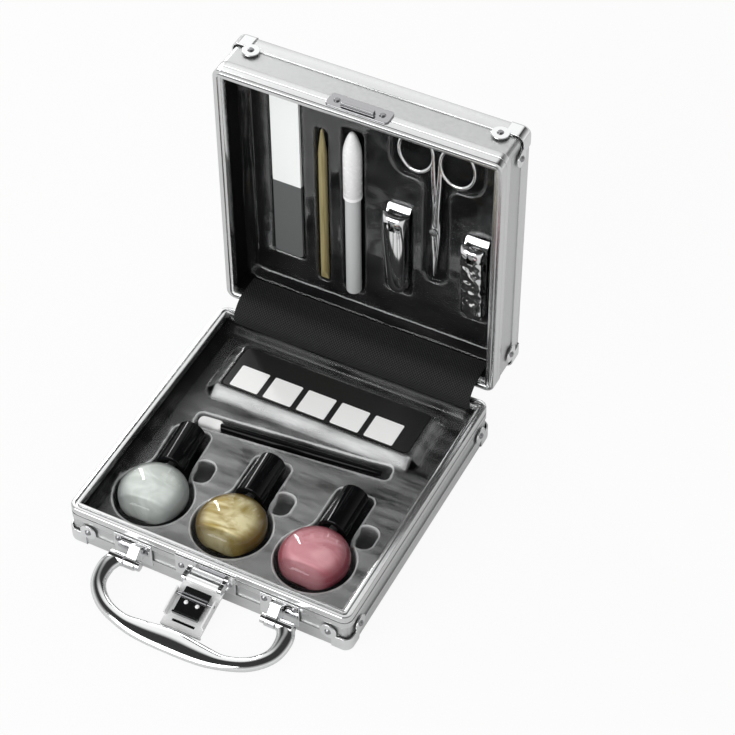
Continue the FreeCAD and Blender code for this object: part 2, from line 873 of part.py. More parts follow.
def file_floor():
    return lid_flange_height + file_proud - file_thickness


def stick_floor():
    return lid_flange_height + stick_proud - stick_radius * 2


def scissor_floor():
    return lid_flange_height - scissor_thickness - scissor_layer_gap / 2


def lid_tray():
    flange, border = lid_flange_height, lid_border_height
    stick_middle = V(stick_centre_x, stick_low_y + stick_length / 2, 0)
    pencil_middle = V(pencil_centre_x, pencil_low_y + pencil_length / 2, 0)
    spaces = [
        (straight_space(V(file_centre_x, file_centre_y, 0), file_width / 2 + pocket_clearance,
                        file_length / 2 + pocket_clearance), file_floor(), flange),
        (straight_space(stick_middle, stick_radius + pocket_clearance,
                        stick_length / 2 + pocket_clearance), stick_floor(), flange),
        (straight_space(pencil_middle, pencil_cap_radius + pocket_clearance,
                        pencil_length / 2 + pocket_clearance), pocket_floor, flange),
        (scissor_space, scissor_floor(), flange),
    ]
    for name, place in clipper_places.items():
        half_x = clipper_widths[name] / 2 + pocket_clearance
        half_y = clipper_lengths[name] / 2 + pocket_clearance
        space = straight_space(V(place, clipper_middle(name), 0), half_x, half_y)
        spaces.append((space, pocket_floor, flange))
    return with_pockets(tray_dish(flange, border), spaces, border)


# Contents of the base

def stencil_card():
    low = seat_top - seat_depth
    card = slab(card_length / 2, card_width / 2, pocket_corner_radius, low, low + card_thickness)
    return moved(card, V(0, card_centre_y, 0))


def stencil_sheets():
    low = seat_top - seat_depth + card_thickness
    sheets = []
    for index in range(stencil_count):
        x = stencil_row_offset_x + (index - (stencil_count - 1) / 2) * stencil_pitch
        sheet = slab(stencil_length / 2, stencil_width / 2, least_radius, low, low + stencil_thickness)
        sheets.append(moved(sheet, V(x, stencil_row_y, 0)))
    return Part.makeCompound(sheets)


def brush_placed(shape):
    return moved(turned(shape, ORIGIN, Z, brush_yaw), V(brush_centre_x, brush_centre_y, brush_floor))


def brush_tip():
    start = -brush_length / 2
    half_width_y = brush_tip_width / 2
    block = slab(brush_tip_length / 2, half_width_y, half_width_y - least_radius, 0, brush_tip_height)
    upper_edges = [edge for edge in block.Edges if edge.BoundBox.ZMin > least_radius]
    block = block.makeFillet(least_radius, upper_edges)
    return brush_placed(moved(block, V(start + brush_tip_length / 2, 0, 0)))


def brush_handle():
    length = brush_length - brush_tip_length
    start = brush_tip_length - brush_length / 2
    profile = [(brush_neck_radius, 0), (brush_radius, length * brush_belly_share), (brush_end_radius, length)]
    return brush_placed(revolved(profile, V(start, 0, brush_radius), X))


def pebble(radius, thickness):
    half = thickness / 2
    face = radius - half
    upper = Part.makeCircle(half, V(face, 0, 0), -Y, -90, 90)
    top = Part.makeLine(V(0, 0, half), V(face, 0, half))
    bottom = Part.makeLine(V(face, 0, -half), V(0, 0, -half))
    axis = Part.makeLine(V(0, 0, -half), V(0, 0, half))
    wire = Part.Wire(Part.__sortEdges__([top, upper, bottom, axis]))
    return Part.Face(wire).revolve(ORIGIN, Z, 360)


def footed(shape, foot):
    reach = bottle_radius * 2
    return shape.cut(box(V(-reach, -reach, -reach), V(reach, -foot, reach)))


def bottle_placed(shape, name):
    return bottle_frame(moved(shape, V(0, 0, pocket_floor + bottle_thickness / 2)), name)


def bottle(name):
    outer = footed(pebble(bottle_radius, bottle_thickness), bottle_foot)
    inner = footed(pebble(bottle_radius - bottle_wall, bottle_thickness - bottle_wall * 2),
                   bottle_foot - bottle_floor)
    neck = rod(neck_radius, ORIGIN, Y, neck_start + neck_length)
    bore = rod(neck_radius - bottle_wall, ORIGIN, Y, neck_start + neck_length + overrun)
    return bottle_placed(outer.fuse(neck).removeSplitter().cut(inner).cut(bore), name)


def applicator_space():
    start = neck_start + neck_length - stem_length - bristle_length - applicator_clearance
    return rod(bristle_radius + applicator_clearance, V(0, start, 0), Y, bottle_radius * 2)


def lacquer(name):
    wall = bottle_wall + lacquer_clearance
    body = footed(pebble(bottle_radius - wall, bottle_thickness - wall * 2),
                  bottle_foot - bottle_floor - lacquer_clearance)
    return bottle_placed(body.cut(applicator_space()), name)


def cap_low():
    return neck_start + cap_seat_gap


def bottle_cap(name):
    profile = [(cap_radius, 0), (cap_end_radius, cap_length - cap_round),
               (cap_end_radius - cap_round, cap_length)]
    body = revolved(profile, V(0, cap_low(), 0), Y)
    bore = rod(neck_radius + cap_bore_clearance, V(0, cap_low() - overrun, 0), Y,
               overrun + neck_length)
    return bottle_placed(body.cut(bore), name)


def applicator(name):
    top = cap_low() + neck_length
    stem = rod(stem_radius, V(0, top - stem_length, 0), Y, stem_length)
    end = top - stem_length
    belly = bristle_length * bristle_belly_share
    profile = [(stem_radius, 0), (bristle_radius, belly), (stem_radius, bristle_length)]
    bristles = revolved(profile, V(0, end - bristle_length, 0), Y)
    return bottle_placed(stem.fuse(bristles).removeSplitter(), name)


# Contents of the lid, in the tub's own frame

def nail_file():
    low = file_floor()
    body = slab(file_width / 2, file_length / 2, file_corner_radius, low, low + file_thickness)
    return opened(moved(body, V(file_centre_x, file_centre_y, 0)))


def orange_stick():
    middle_z = stick_floor() + stick_radius
    profile = [(stick_radius, 0), (stick_radius, stick_length - stick_point),
               (stick_point_radius, stick_length)]
    body = revolved(profile, V(stick_centre_x, stick_low_y, middle_z), Y)
    start_x = stick_centre_x - stick_radius - overrun
    for side in SIDES:
        edge_z = middle_z + side * stick_chisel_edge / 2
        wedge = prism([
            V(start_x, stick_low_y - overrun, edge_z),
            V(start_x, stick_low_y, edge_z),
            V(start_x, stick_low_y + stick_chisel, middle_z + side * stick_radius),
            V(start_x, stick_low_y - overrun, middle_z + side * (stick_radius + overrun)),
        ], X * (stick_radius + overrun) * 2)
        body = body.cut(wedge)
    return opened(body)


def pencil_axis(along):
    return V(pencil_centre_x, pencil_low_y + along, pocket_floor + pencil_cap_radius)


def pencil_barrel():
    end = pencil_length - pencil_cap_length
    profile = [(pencil_barrel_radius - pencil_end_round, 0), (pencil_barrel_radius, pencil_end_round),
               (pencil_barrel_radius, end)]
    return opened(revolved(profile, pencil_axis(0), Y))


def pencil_cap():
    profile = [(pencil_cap_radius, 0), (pencil_cap_radius, pencil_cap_length - pencil_shoulder),
               (pencil_tip_radius, pencil_cap_length - pencil_tip_length),
               (pencil_top_radius, pencil_cap_length)]
    return opened(revolved(profile, pencil_axis(pencil_length - pencil_cap_length), Y))


def clipper_middle(name):
    return half_depth * clipper_middle_shares[name]


def clipper_plan(name):
    half_head, half_tail = clipper_widths[name] / 2, clipper_tail_widths[name] / 2
    half = clipper_lengths[name] / 2
    corners = [V(-half_tail, -half, 0), V(half_tail, -half, 0), V(half_head, half, 0), V(-half_head, half, 0)]
    plan = prism(corners, V(0, 0, clipper_height + overrun))
    tails = [edge for edge in plan.Edges if edge.BoundBox.YMax < 0 and edge.BoundBox.XLength < least_radius
             and edge.BoundBox.YLength < least_radius]
    return plan.makeFillet(half_tail - least_radius, tails)


def clipper_outline(shares, name):
    width, length = clipper_widths[name], clipper_lengths[name]
    points = [V(-width / 2, along * length, up * clipper_height) for along, up in shares]
    return prism(points, X * width).common(clipper_plan(name))


def clipper_placed(shape, name):
    return opened(moved(shape, V(clipper_places[name], clipper_middle(name), pocket_floor)))


def clipper_post_place(name):
    return V(0, clipper_post_share * clipper_lengths[name], 0)


def clipper_cross_place(name):
    return clipper_post_place(name) + Z * (clipper_cross_share * clipper_height)


def clipper_jaws(name):
    hole = rod(clipper_post_radius + clipper_post_clearance, clipper_post_place(name) - Z * overrun, Z,
               clipper_height + overrun * 2)
    leaves = [clipper_outline(shares, name).cut(hole) for shares in (lower_leaf_shares, upper_leaf_shares)]
    return Part.makeCompound([clipper_placed(leaf, name) for leaf in leaves])


def clipper_post(name):
    cross_place = clipper_cross_place(name)
    post = rod(clipper_post_radius, clipper_post_place(name), Z, cross_place.z + clipper_cross_radius * 2)
    half = clipper_tail_widths[name] / 2
    cross = rod(clipper_cross_radius, cross_place - X * half, X, half * 2)
    return clipper_placed(post.fuse(cross).removeSplitter(), name)


def clipper_lever(name):
    body = clipper_outline(lever_shares, name)
    place = clipper_post_place(name)
    half_x = clipper_post_radius + clipper_post_clearance
    half_y = half_x + clipper_post_radius
    slot = box(V(-half_x, place.y - half_y, 0), V(half_x, place.y + half_y, clipper_height + overrun))
    width = clipper_widths[name]
    bore = rod(clipper_cross_radius + pin_clearance, clipper_cross_place(name) - X * width, X, width * 2)
    return clipper_placed(body.cut(slot).cut(bore), name)


def scissor_half(side):
    blade = [
        V(-side * scissor_tip_width / 2, -scissor_blade_length, 0),
        V(side * scissor_tip_width / 2, -scissor_blade_length, 0),
        V(side * scissor_blade_width / 2, -scissor_screw_head_radius, 0),
        V(side * scissor_blade_width / 2, scissor_screw_head_radius, 0),
        V(-side * scissor_blade_width / 2, scissor_screw_head_radius, 0),
        V(-side * scissor_blade_width / 2, -scissor_screw_head_radius, 0),
    ]
    up = V(0, 0, scissor_thickness)
    ring_centre = V(side * scissor_ring_offset, scissor_ring_rise, 0)
    shank_end = V(side * (scissor_ring_offset - scissor_ring_half_width * scissor_shank_end_share),
                  scissor_ring_rise - scissor_ring_half_height * scissor_shank_rise_share, 0)
    shank = prism([
        V(-scissor_blade_width / 2, 0, 0), V(scissor_blade_width / 2, 0, 0),
        shank_end + X * (scissor_shank_width / 2), shank_end - X * (scissor_shank_width / 2),
    ], up)
    ring_outer = Part.Ellipse(ring_centre + Y * scissor_ring_half_height,
                              ring_centre + X * scissor_ring_half_width, ring_centre)
    inner_height = scissor_ring_half_height - scissor_ring_wire
    inner_width = scissor_ring_half_width - scissor_ring_wire
    ring_inner = Part.Ellipse(ring_centre + Y * inner_height, ring_centre + X * inner_width, ring_centre)
    outer = Part.Face(Part.Wire([ring_outer.toShape()])).extrude(up)
    inner = Part.Face(Part.Wire([ring_inner.toShape()])).extrude(up + Z * (overrun * 2))
    body = fused([prism(blade, up), shank, outer]).cut(moved(inner, Z * -overrun))
    return body.cut(rod(scissor_screw_radius + scissor_screw_clearance, Z * -overrun, Z,
                        scissor_thickness + overrun * 2))


def scissor_placed(shape, low):
    return opened(moved(shape, V(scissor_centre_x, scissor_screw_y, low)))


def scissor_upper_floor():
    return scissor_floor() + scissor_thickness + scissor_layer_gap


def scissor_blade_fixed():
    return scissor_placed(scissor_half(-1), scissor_floor())


def scissor_blade_moving():
    return scissor_placed(scissor_half(1), scissor_upper_floor())


def scissor_screw():
    top = scissor_upper_floor() + scissor_thickness + scissor_screw_clearance - scissor_floor()
    shank = rod(scissor_screw_radius, ORIGIN, Z, top)
    head = rod(scissor_screw_head_radius, Z * top, Z, scissor_screw_head_height)
    return scissor_placed(shank.fuse(head).removeSplitter(), scissor_floor())


# Assembly

def all_parts():
    parts = {
        "base_rim": rim_frame(base_height, False),
        "base_wall_panels": wall_panels(base_height),
        "base_floor_panel": flat_panel(),
        "base_edge_angles": edge_angles(),
        "base_corner_caps": corner_caps(),
        "base_rivets": Part.makeCompound(cap_rivets() + hinge_leaf_rivets(-1) + latch_rivets()
                                         + bracket_rivets()),
        "base_lining": tub_lining(base_height),
        "base_tray": base_tray(),
        "hinge_lower_leaf": hinge_leaf(-1),
        "hinge_pin": hinge_pin(),
        "hinge_cloth": hinge_cloth(),
        "latch_plate": latch_plate(),
        "latch_pin": latch_pin(),
        "latch_lever": latch_lever(),
        "latch_hook_pin": latch_hook_pin(),
        "latch_hook": latch_hook(),
        "handle_bracket_left": handle_bracket(-1),
        "handle_bracket_right": handle_bracket(1),
        "handle_bow": handle_bow(),
        "handle_pins": handle_pins(),
        "stencil_card": stencil_card(),
        "stencil_sheets": stencil_sheets(),
        "nail_brush_handle": brush_handle(),
        "nail_brush_tip": brush_tip(),
        "lid_rim": opened(rim_frame(lid_height, True)),
        "lid_wall_panels": opened(wall_panels(lid_height)),
        "lid_top_panel": opened(flat_panel()),
        "lid_edge_angles": opened(edge_angles()),
        "lid_corner_caps": opened(corner_caps()),
        "lid_rivets": Part.makeCompound([opened(head) for head in cap_rivets()]
                                        + [swung(head) for head in hinge_leaf_rivets(1)] + catch_rivets()),
        "lid_lining": opened(tub_lining(lid_height)),
        "lid_tray": opened(lid_tray()),
        "hinge_upper_leaf": swung(hinge_leaf(1)),
        "catch_plate": catch_plate(),
        "nail_file": nail_file(),
        "orange_stick": orange_stick(),
        "pencil_barrel": pencil_barrel(),
        "pencil_cap": pencil_cap(),
        "scissor_blade_fixed": scissor_blade_fixed(),
        "scissor_blade_moving": scissor_blade_moving(),
        "scissor_screw": scissor_screw(),
    }
    for name in bottle_places:
        parts[f"bottle_{name}"] = bottle(name)
        parts[f"lacquer_{name}"] = lacquer(name)
        parts[f"bottle_cap_{name}"] = bottle_cap(name)
        parts[f"applicator_{name}"] = applicator(name)
    for name in clipper_places:
        parts[f"{name}_clipper_jaws"] = clipper_jaws(name)
        parts[f"{name}_clipper_post"] = clipper_post(name)
        parts[f"{name}_clipper_lever"] = clipper_lever(name)
    return parts


os.makedirs("parts", exist_ok=True)
for part_name, part_shape in all_parts().items():
    moved(part_shape, V(0, frame_shift, 0)).exportStep(f"parts/{part_name}.step")
print("parts written, the frame is shifted", round(frame_shift, 3), "mm along Y")
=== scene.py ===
import math
import bpy
from mathutils import Matrix, Vector


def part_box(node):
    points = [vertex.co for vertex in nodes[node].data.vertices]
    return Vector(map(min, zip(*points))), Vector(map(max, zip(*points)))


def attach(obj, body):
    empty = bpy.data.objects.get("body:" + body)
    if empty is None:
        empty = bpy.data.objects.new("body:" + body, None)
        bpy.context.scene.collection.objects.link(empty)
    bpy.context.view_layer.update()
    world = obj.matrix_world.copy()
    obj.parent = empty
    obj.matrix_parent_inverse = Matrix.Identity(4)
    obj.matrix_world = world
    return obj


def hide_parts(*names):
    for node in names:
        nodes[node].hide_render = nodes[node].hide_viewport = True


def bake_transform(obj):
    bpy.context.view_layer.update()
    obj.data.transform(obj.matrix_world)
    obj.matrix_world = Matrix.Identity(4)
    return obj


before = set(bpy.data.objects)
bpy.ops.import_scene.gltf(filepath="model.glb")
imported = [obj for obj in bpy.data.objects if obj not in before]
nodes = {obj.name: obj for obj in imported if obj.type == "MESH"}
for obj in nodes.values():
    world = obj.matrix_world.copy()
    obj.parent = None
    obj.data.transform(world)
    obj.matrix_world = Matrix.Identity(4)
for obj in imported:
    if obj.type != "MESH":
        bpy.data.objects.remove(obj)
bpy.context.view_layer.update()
mm = 0.001
rimLow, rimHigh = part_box("base_rim")
backLow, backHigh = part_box("lid_top_panel")
caseShift = (rimLow.y + rimHigh.y) / 2
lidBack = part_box("lid_corner_caps")[1].y
lidMiddle = (backLow.z + backHigh.z) / 2
print("frame loaded:", len(nodes), "nodes")


# small tools for modelling

def at(x, y, z):  # millimetres in the case's own frame
    return Vector((x * mm, y * mm + caseShift, z * mm))


def inLid(x, up, out):  # millimetres in the lid, as it lies with its back on the table
    return Vector((x * mm, lidBack - out * mm, lidMiddle + up * mm))


def only(obj):
    bpy.ops.object.select_all(action="DESELECT")
    obj.select_set(True)
    bpy.context.view_layer.objects.active = obj


def named(name):
    obj = bpy.context.active_object
    obj.name = obj.data.name = name
    return obj


def clearAll():
    bpy.ops.object.select_all(action="DESELECT")


def edit():
    bpy.ops.object.mode_set(mode="EDIT")


def leaveEdit():
    bpy.ops.object.mode_set(mode="OBJECT")


def pick(obj, kind, test):  # opens edit mode with what passes the test selected
    only(obj)
    edit()
    bpy.ops.mesh.select_mode(type=kind)
    bpy.ops.mesh.select_all(action="DESELECT")
    leaveEdit()
    data = obj.data
    parts = {"FACE": data.polygons, "EDGE": data.edges, "VERT": data.vertices}[kind]
    for part in parts:
        part.select = test(part)
    edit()


def edgeRun(obj, edge):
    a, b = (obj.data.vertices[i].co for i in edge.vertices)
    return (b - a).normalized()


def applied(obj, kind, **settings):
    only(obj)
    modifier = obj.modifiers.new(kind, kind)
    for key, value in settings.items():
        setattr(modifier, key, value)
    bpy.ops.object.modifier_apply(modifier=modifier.name)
    return obj


def smooth(obj, degrees=35):
    only(obj)
    bpy.ops.object.shade_smooth_by_angle(angle=math.radians(degrees))
    return obj


def rounded(obj, width, segments=3, degrees=35):
    applied(obj, "BEVEL", width=width * mm, segments=segments, limit_method="ANGLE",
            angle_limit=math.radians(degrees), use_clamp_overlap=True, harden_normals=False)
    smooth(obj)
    return applied(obj, "WEIGHTED_NORMAL", keep_sharp=True, weight=80)


def closed(obj):  # doubles merged, faces pointing outwards
    only(obj)
    edit()
    bpy.ops.mesh.select_all(action="SELECT")
    bpy.ops.mesh.remove_doubles(threshold=0.0005 * mm)
    bpy.ops.mesh.normals_make_consistent(inside=False)
    leaveEdit()
    return obj


def placed(obj, matrix):  # moves the mesh and leaves the object at the origin
    obj.matrix_world = matrix
    only(obj)
    bpy.ops.object.transform_apply(location=True, rotation=True, scale=True)
    return obj


def turnedTo(origin, degrees=0, tilt=0):
    return (Matrix.Translation(origin) @ Matrix.Rotation(math.radians(degrees), 4, "Z")
            @ Matrix.Rotation(math.radians(tilt), 4, "X"))


lidTurn = Matrix.Rotation(math.radians(90), 4, "X")


def lidPlaced(obj, x, up, out, degrees=0):  # a piece modelled flat goes into the standing lid
    return placed(obj, Matrix.Translation(inLid(x, up, out)) @ lidTurn
                  @ Matrix.Rotation(math.radians(degrees), 4, "Z"))


def box(name, low, high):  # two corners in millimetres
    clearAll()
    size = [b - a for a, b in zip(low, high)]
    middle = [(a + b) / 2 * mm for a, b in zip(low, high)]
    bpy.ops.mesh.primitive_cube_add(size=1, location=middle)
    obj = named(name)
    obj.scale = [s * mm for s in size]
    bpy.ops.object.transform_apply(location=True, rotation=True, scale=True)
    return obj


def startPoint(name, x, y, z):  # one vertex to draw from
    clearAll()
    bpy.ops.mesh.primitive_plane_add(size=1 * mm)
    obj = named(name)
    edit()
    bpy.ops.mesh.select_mode(type="VERT")
    bpy.ops.mesh.select_all(action="SELECT")
    bpy.ops.mesh.merge(type="CENTER")
    bpy.ops.transform.translate(value=(x * mm, y * mm, z * mm))
    return obj


def drawLine(points):  # extrudes the chosen vertex from point to point
    for before, after in zip(points, points[1:]):
        step = [(b - a) * mm for a, b in zip(before, after)]
        bpy.ops.mesh.extrude_vertices_move(TRANSFORM_OT_translate={"value": step})


def arcPoints(centre, radius, start, end, count):
    turns = [math.radians(start + (end - start) * i / count) for i in range(count + 1)]
    return [(centre[0] + radius * math.cos(t), centre[1] + radius * math.sin(t)) for t in turns]


def lathe(name, profile, steps=72):  # radius and height pairs, spun round the upright axis
    points = [(radius, 0, height) for radius, height in profile]
    obj = startPoint(name, *points[0])
    drawLine(points)
    bpy.ops.mesh.select_all(action="SELECT")
    bpy.ops.mesh.spin(steps=steps, angle=math.tau, center=(0, 0, 0), axis=(0, 0, 1))
    leaveEdit()
    return closed(obj)


def flatShape(name, outline, height):  # a closed outline, filled and pulled up
    points = [(x, y, 0) for x, y in outline]
    obj = startPoint(name, *points[0])
    drawLine(points)
    bpy.ops.mesh.select_all(action="SELECT")
    bpy.ops.mesh.edge_face_add()
    bpy.ops.mesh.extrude_region_move(TRANSFORM_OT_translate={"value": (0, 0, height * mm)})
    leaveEdit()
    return closed(obj)


def joined(parts, name):
    clearAll()
    for part in parts:
        part.select_set(True)
    bpy.context.view_layer.objects.active = parts[0]
    bpy.ops.object.join()
    return named(name)


def skinned(name, rings):  # a tube pulled up ring by ring, closed at the ends, then drawn onto the rings of points
    clearAll()
    count = len(rings[0])
    bpy.ops.mesh.primitive_circle_add(vertices=count, radius=1)
    obj = named(name)
    edit()
    bpy.ops.mesh.select_all(action="SELECT")
    for ring in rings[1:]:
        bpy.ops.mesh.extrude_region_move(TRANSFORM_OT_translate={"value": (0, 0, 1)})
    bpy.ops.mesh.select_all(action="SELECT")
    bpy.ops.mesh.fill_holes(sides=0)
    leaveEdit()
    for vertex in obj.data.vertices:
        x, y, z = vertex.co
        vertex.co = Vector(rings[round(z)][round(math.atan2(y, x) / math.tau * count) % count]) * mm
    return closed(obj)


def finished(obj, body, slotName, material, *replaced):
    obj.data.materials.clear()
    obj.data.materials.append(material)
    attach(obj, body)
    if replaced:
        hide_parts(*replaced)
    return obj


def dress(material, *names):  # a CAD node that keeps its shape
    for name in names:
        nodes[name].data.materials.clear()
        nodes[name].data.materials.append(material)


def copyOf(node, name):  # a merged copy of a CAD node's mesh, ready for rounded edges
    mesh = nodes[node].data.copy()
    obj = bpy.data.objects.new(name, mesh)
    bpy.context.scene.collection.objects.link(obj)
    only(obj)
    edit()
    bpy.ops.mesh.select_all(action="SELECT")
    bpy.ops.mesh.remove_doubles(threshold=0.002 * mm)
    bpy.ops.mesh.dissolve_limited(angle_limit=math.radians(1.0))
    leaveEdit()
    return obj


# effects that several finishes share

def effect(name, inputs, outputs):
    group = bpy.data.node_groups.new(name, "ShaderNodeTree")
    for label, value in inputs.items():
        socket = group.interface.new_socket(name=label, in_out="INPUT", socket_type="NodeSocketFloat")
        socket.default_value = value
    for label in outputs:
        group.interface.new_socket(name=label, in_out="OUTPUT", socket_type="NodeSocketFloat")
    return group, group.nodes.new("NodeGroupInput"), group.nodes.new("NodeGroupOutput")


def node(tree, kind, **settings):
    made = tree.nodes.new(kind)
    for key, value in settings.items():
        setattr(made, key, value)
    return made


def objectPoint(tree, scale=(1, 1, 1), turn=(0, 0, 0)):
    where = node(tree, "ShaderNodeTexCoord")
    mapping = node(tree, "ShaderNodeMapping")
    mapping.inputs["Scale"].default_value = scale
    mapping.inputs["Rotation"].default_value = [math.radians(t) for t in turn]
    tree.links.new(where.outputs["Object"], mapping.inputs["Vector"])
    return mapping.outputs["Vector"]


def noise(tree, vector, scale, detail=4, rough=0.55):
    made = node(tree, "ShaderNodeTexNoise")
    made.inputs["Detail"].default_value = detail
    made.inputs["Roughness"].default_value = rough
    if isinstance(scale, (int, float)):
        made.inputs["Scale"].default_value = scale
    else:
        tree.links.new(scale, made.inputs["Scale"])
    tree.links.new(vector, made.inputs["Vector"])
    return made.outputs["Fac"]


def spread(tree, value, fromLow, fromHigh, low, high):
    made = node(tree, "ShaderNodeMapRange")
    made.inputs["From Min"].default_value = fromLow
    made.inputs["From Max"].default_value = fromHigh
    for label, limit in (("To Min", low), ("To Max", high)):
        if isinstance(limit, (int, float)):
            made.inputs[label].default_value = limit
        else:
            tree.links.new(limit, made.inputs[label])
    tree.links.new(value, made.inputs["Value"])
    return made.outputs["Result"]


def sums(tree, kind, a, b):
    made = node(tree, "ShaderNodeMath", operation=kind)
    for socket, value in zip(made.inputs, (a, b)):
        if isinstance(value, (int, float)):
            socket.default_value = value
        else:
            tree.links.new(value, socket)
    return made.outputs["Value"]


def makeGrain():  # fine even grain, for roughness and relief
    group, given, out = effect("fineGrain", {"Scale": 900, "Low": 0.3, "High": 0.5}, ("Roughness", "Height"))
    grain = noise(group, objectPoint(group), given.outputs["Scale"], 5)
    result = spread(group, grain, 0.3, 0.7, given.outputs["Low"], given.outputs["High"])
    group.links.new(result, out.inputs["Roughness"])
    group.links.new(grain, out.inputs["Height"])
    return group


def makeSmudges():  # broad uneven patches with a few fine lines, for polished surfaces
    group, given, out = effect("smudges", {"Scale": 60, "Low": 0.04, "High": 0.12}, ("Roughness", "Height"))
    patches = noise(group, objectPoint(group), given.outputs["Scale"], 3)
    lines = noise(group, objectPoint(group, (40, 900, 40), (20, 30, 40)), 6, 2)
    both = sums(group, "ADD", sums(group, "MULTIPLY", patches, 0.75), sums(group, "MULTIPLY", lines, 0.25))
    group.links.new(spread(group, both, 0.3, 0.7, given.outputs["Low"], given.outputs["High"]),
                    out.inputs["Roughness"])
    group.links.new(lines, out.inputs["Height"])
    return group


def makeWeave():  # crossing threads on the piece's own map
    group, given, out = effect("weave", {"Threads": 150, "Length": 40}, ("Height", "Shade"))
    where = node(group, "ShaderNodeUVMap")
    parts = node(group, "ShaderNodeSeparateXYZ")
    group.links.new(where.outputs["UV"], parts.inputs["Vector"])
    across = sums(group, "MULTIPLY", parts.outputs["X"], given.outputs["Threads"])
    along = sums(group, "MULTIPLY", parts.outputs["Y"], given.outputs["Length"])
    warp = sums(group, "SINE", sums(group, "MULTIPLY", across, math.tau), 0)
    weft = sums(group, "SINE", sums(group, "MULTIPLY", along, math.tau), 0)
    crossing = sums(group, "MULTIPLY", warp, weft)
    fuzz = noise(group, where.outputs["UV"], 260, 4)
    height = sums(group, "ADD", crossing, sums(group, "MULTIPLY", fuzz, 0.5))
    group.links.new(height, out.inputs["Height"])
    group.links.new(spread(group, height, -1, 1.5, 0, 1), out.inputs["Shade"])
    return group


def makeSwirl():  # slow folded bands, as in poured lacquer
    group, given, out = effect("swirl", {"Scale": 70, "Twist": 4}, ("Band", "Fleck"))
    point = objectPoint(group, (1, 2.2, 1.4))
    bands = node(group, "ShaderNodeTexNoise")
    bands.inputs["Detail"].default_value = 3
    group.links.new(point, bands.inputs["Vector"])
    group.links.new(given.outputs["Scale"], bands.inputs["Scale"])
    group.links.new(given.outputs["Twist"], bands.inputs["Distortion"])
    flecks = node(group, "ShaderNodeTexVoronoi")
    flecks.inputs["Scale"].default_value = 2600
    group.links.new(objectPoint(group), flecks.inputs["Vector"])
    group.links.new(spread(group, bands.outputs["Fac"], 0.4, 0.62, 0, 1), out.inputs["Band"])
    group.links.new(flecks.outputs["Distance"], out.inputs["Fleck"])
    return group


grainEffect = makeGrain()
smudgeEffect = makeSmudges()
weaveEffect = makeWeave()
swirlEffect = makeSwirl()


def finish(name, colour, metallic=0.0, roughness=0.5):
    material = bpy.data.materials.new(name)
    material.use_nodes = True
    tree = material.node_tree
    shader = tree.nodes["Principled BSDF"]
    shader.inputs["Base Color"].default_value = (*colour, 1)
    shader.inputs["Metallic"].default_value = metallic
    shader.inputs["Roughness"].default_value = roughness
    return material, tree, shader


def use(tree, group, **values):
    made = node(tree, "ShaderNodeGroup", node_tree=group)
    for key, value in values.items():
        made.inputs[key].default_value = value
    return made


def relief(tree, shader, height, depth):
    bump = node(tree, "ShaderNodeBump")
    bump.inputs["Strength"].default_value = 1
    bump.inputs["Distance"].default_value = depth * mm
    tree.links.new(height, bump.inputs["Height"])
    tree.links.new(bump.outputs["Normal"], shader.inputs["Normal"])


def tinted(tree, shader, mask, first, second):
    mixer = node(tree, "ShaderNodeMix", data_type="RGBA")
    mixer.inputs["A"].default_value = (*first, 1)
    mixer.inputs["B"].default_value = (*second, 1)
    tree.links.new(mask, mixer.inputs["Factor"])
    tree.links.new(mixer.outputs["Result"], shader.inputs["Base Color"])
    return mixer.outputs["Result"]


def grained(name, colour, metallic, low, high, scale=900, depth=0.004):
    material, tree, shader = finish(name, colour, metallic)
    grain = use(tree, grainEffect, Scale=scale, Low=low, High=high)
    tree.links.new(grain.outputs["Roughness"], shader.inputs["Roughness"])
    relief(tree, shader, grain.outputs["Height"], depth)
    return material, tree, shader


def dulled(made, level):  # less of the plain surface reflection
    material, tree, shader = made
    shader.inputs["Specular IOR Level"].default_value = level
    return material


def polished(name, colour, low=0.04, high=0.11, metallic=1.0):
    material, tree, shader = finish(name, colour, metallic)
    smudge = use(tree, smudgeEffect, Scale=60, Low=low, High=high)
    tree.links.new(smudge.outputs["Roughness"], shader.inputs["Roughness"])
    relief(tree, shader, smudge.outputs["Height"], 0.0006)
    return material, tree, shader


sheetLook = {
    "colour": (0.93, 0.94, 0.94), "rough": 0.08, "hazeRough": 0.5, "slant": 4, "slantMirror": 0.85, "mostVeil": 1.2,
    "streaks": {"stretch": (0.6, 3.6, 1), "scale": 52, "from": (0.38, 0.64), "to": (0.2, 1.8), "evenFrom": (2, 8)},
    "waves": {"stretch": (0.8, 1.8, 1), "scale": 30, "depth": 1.6},
}


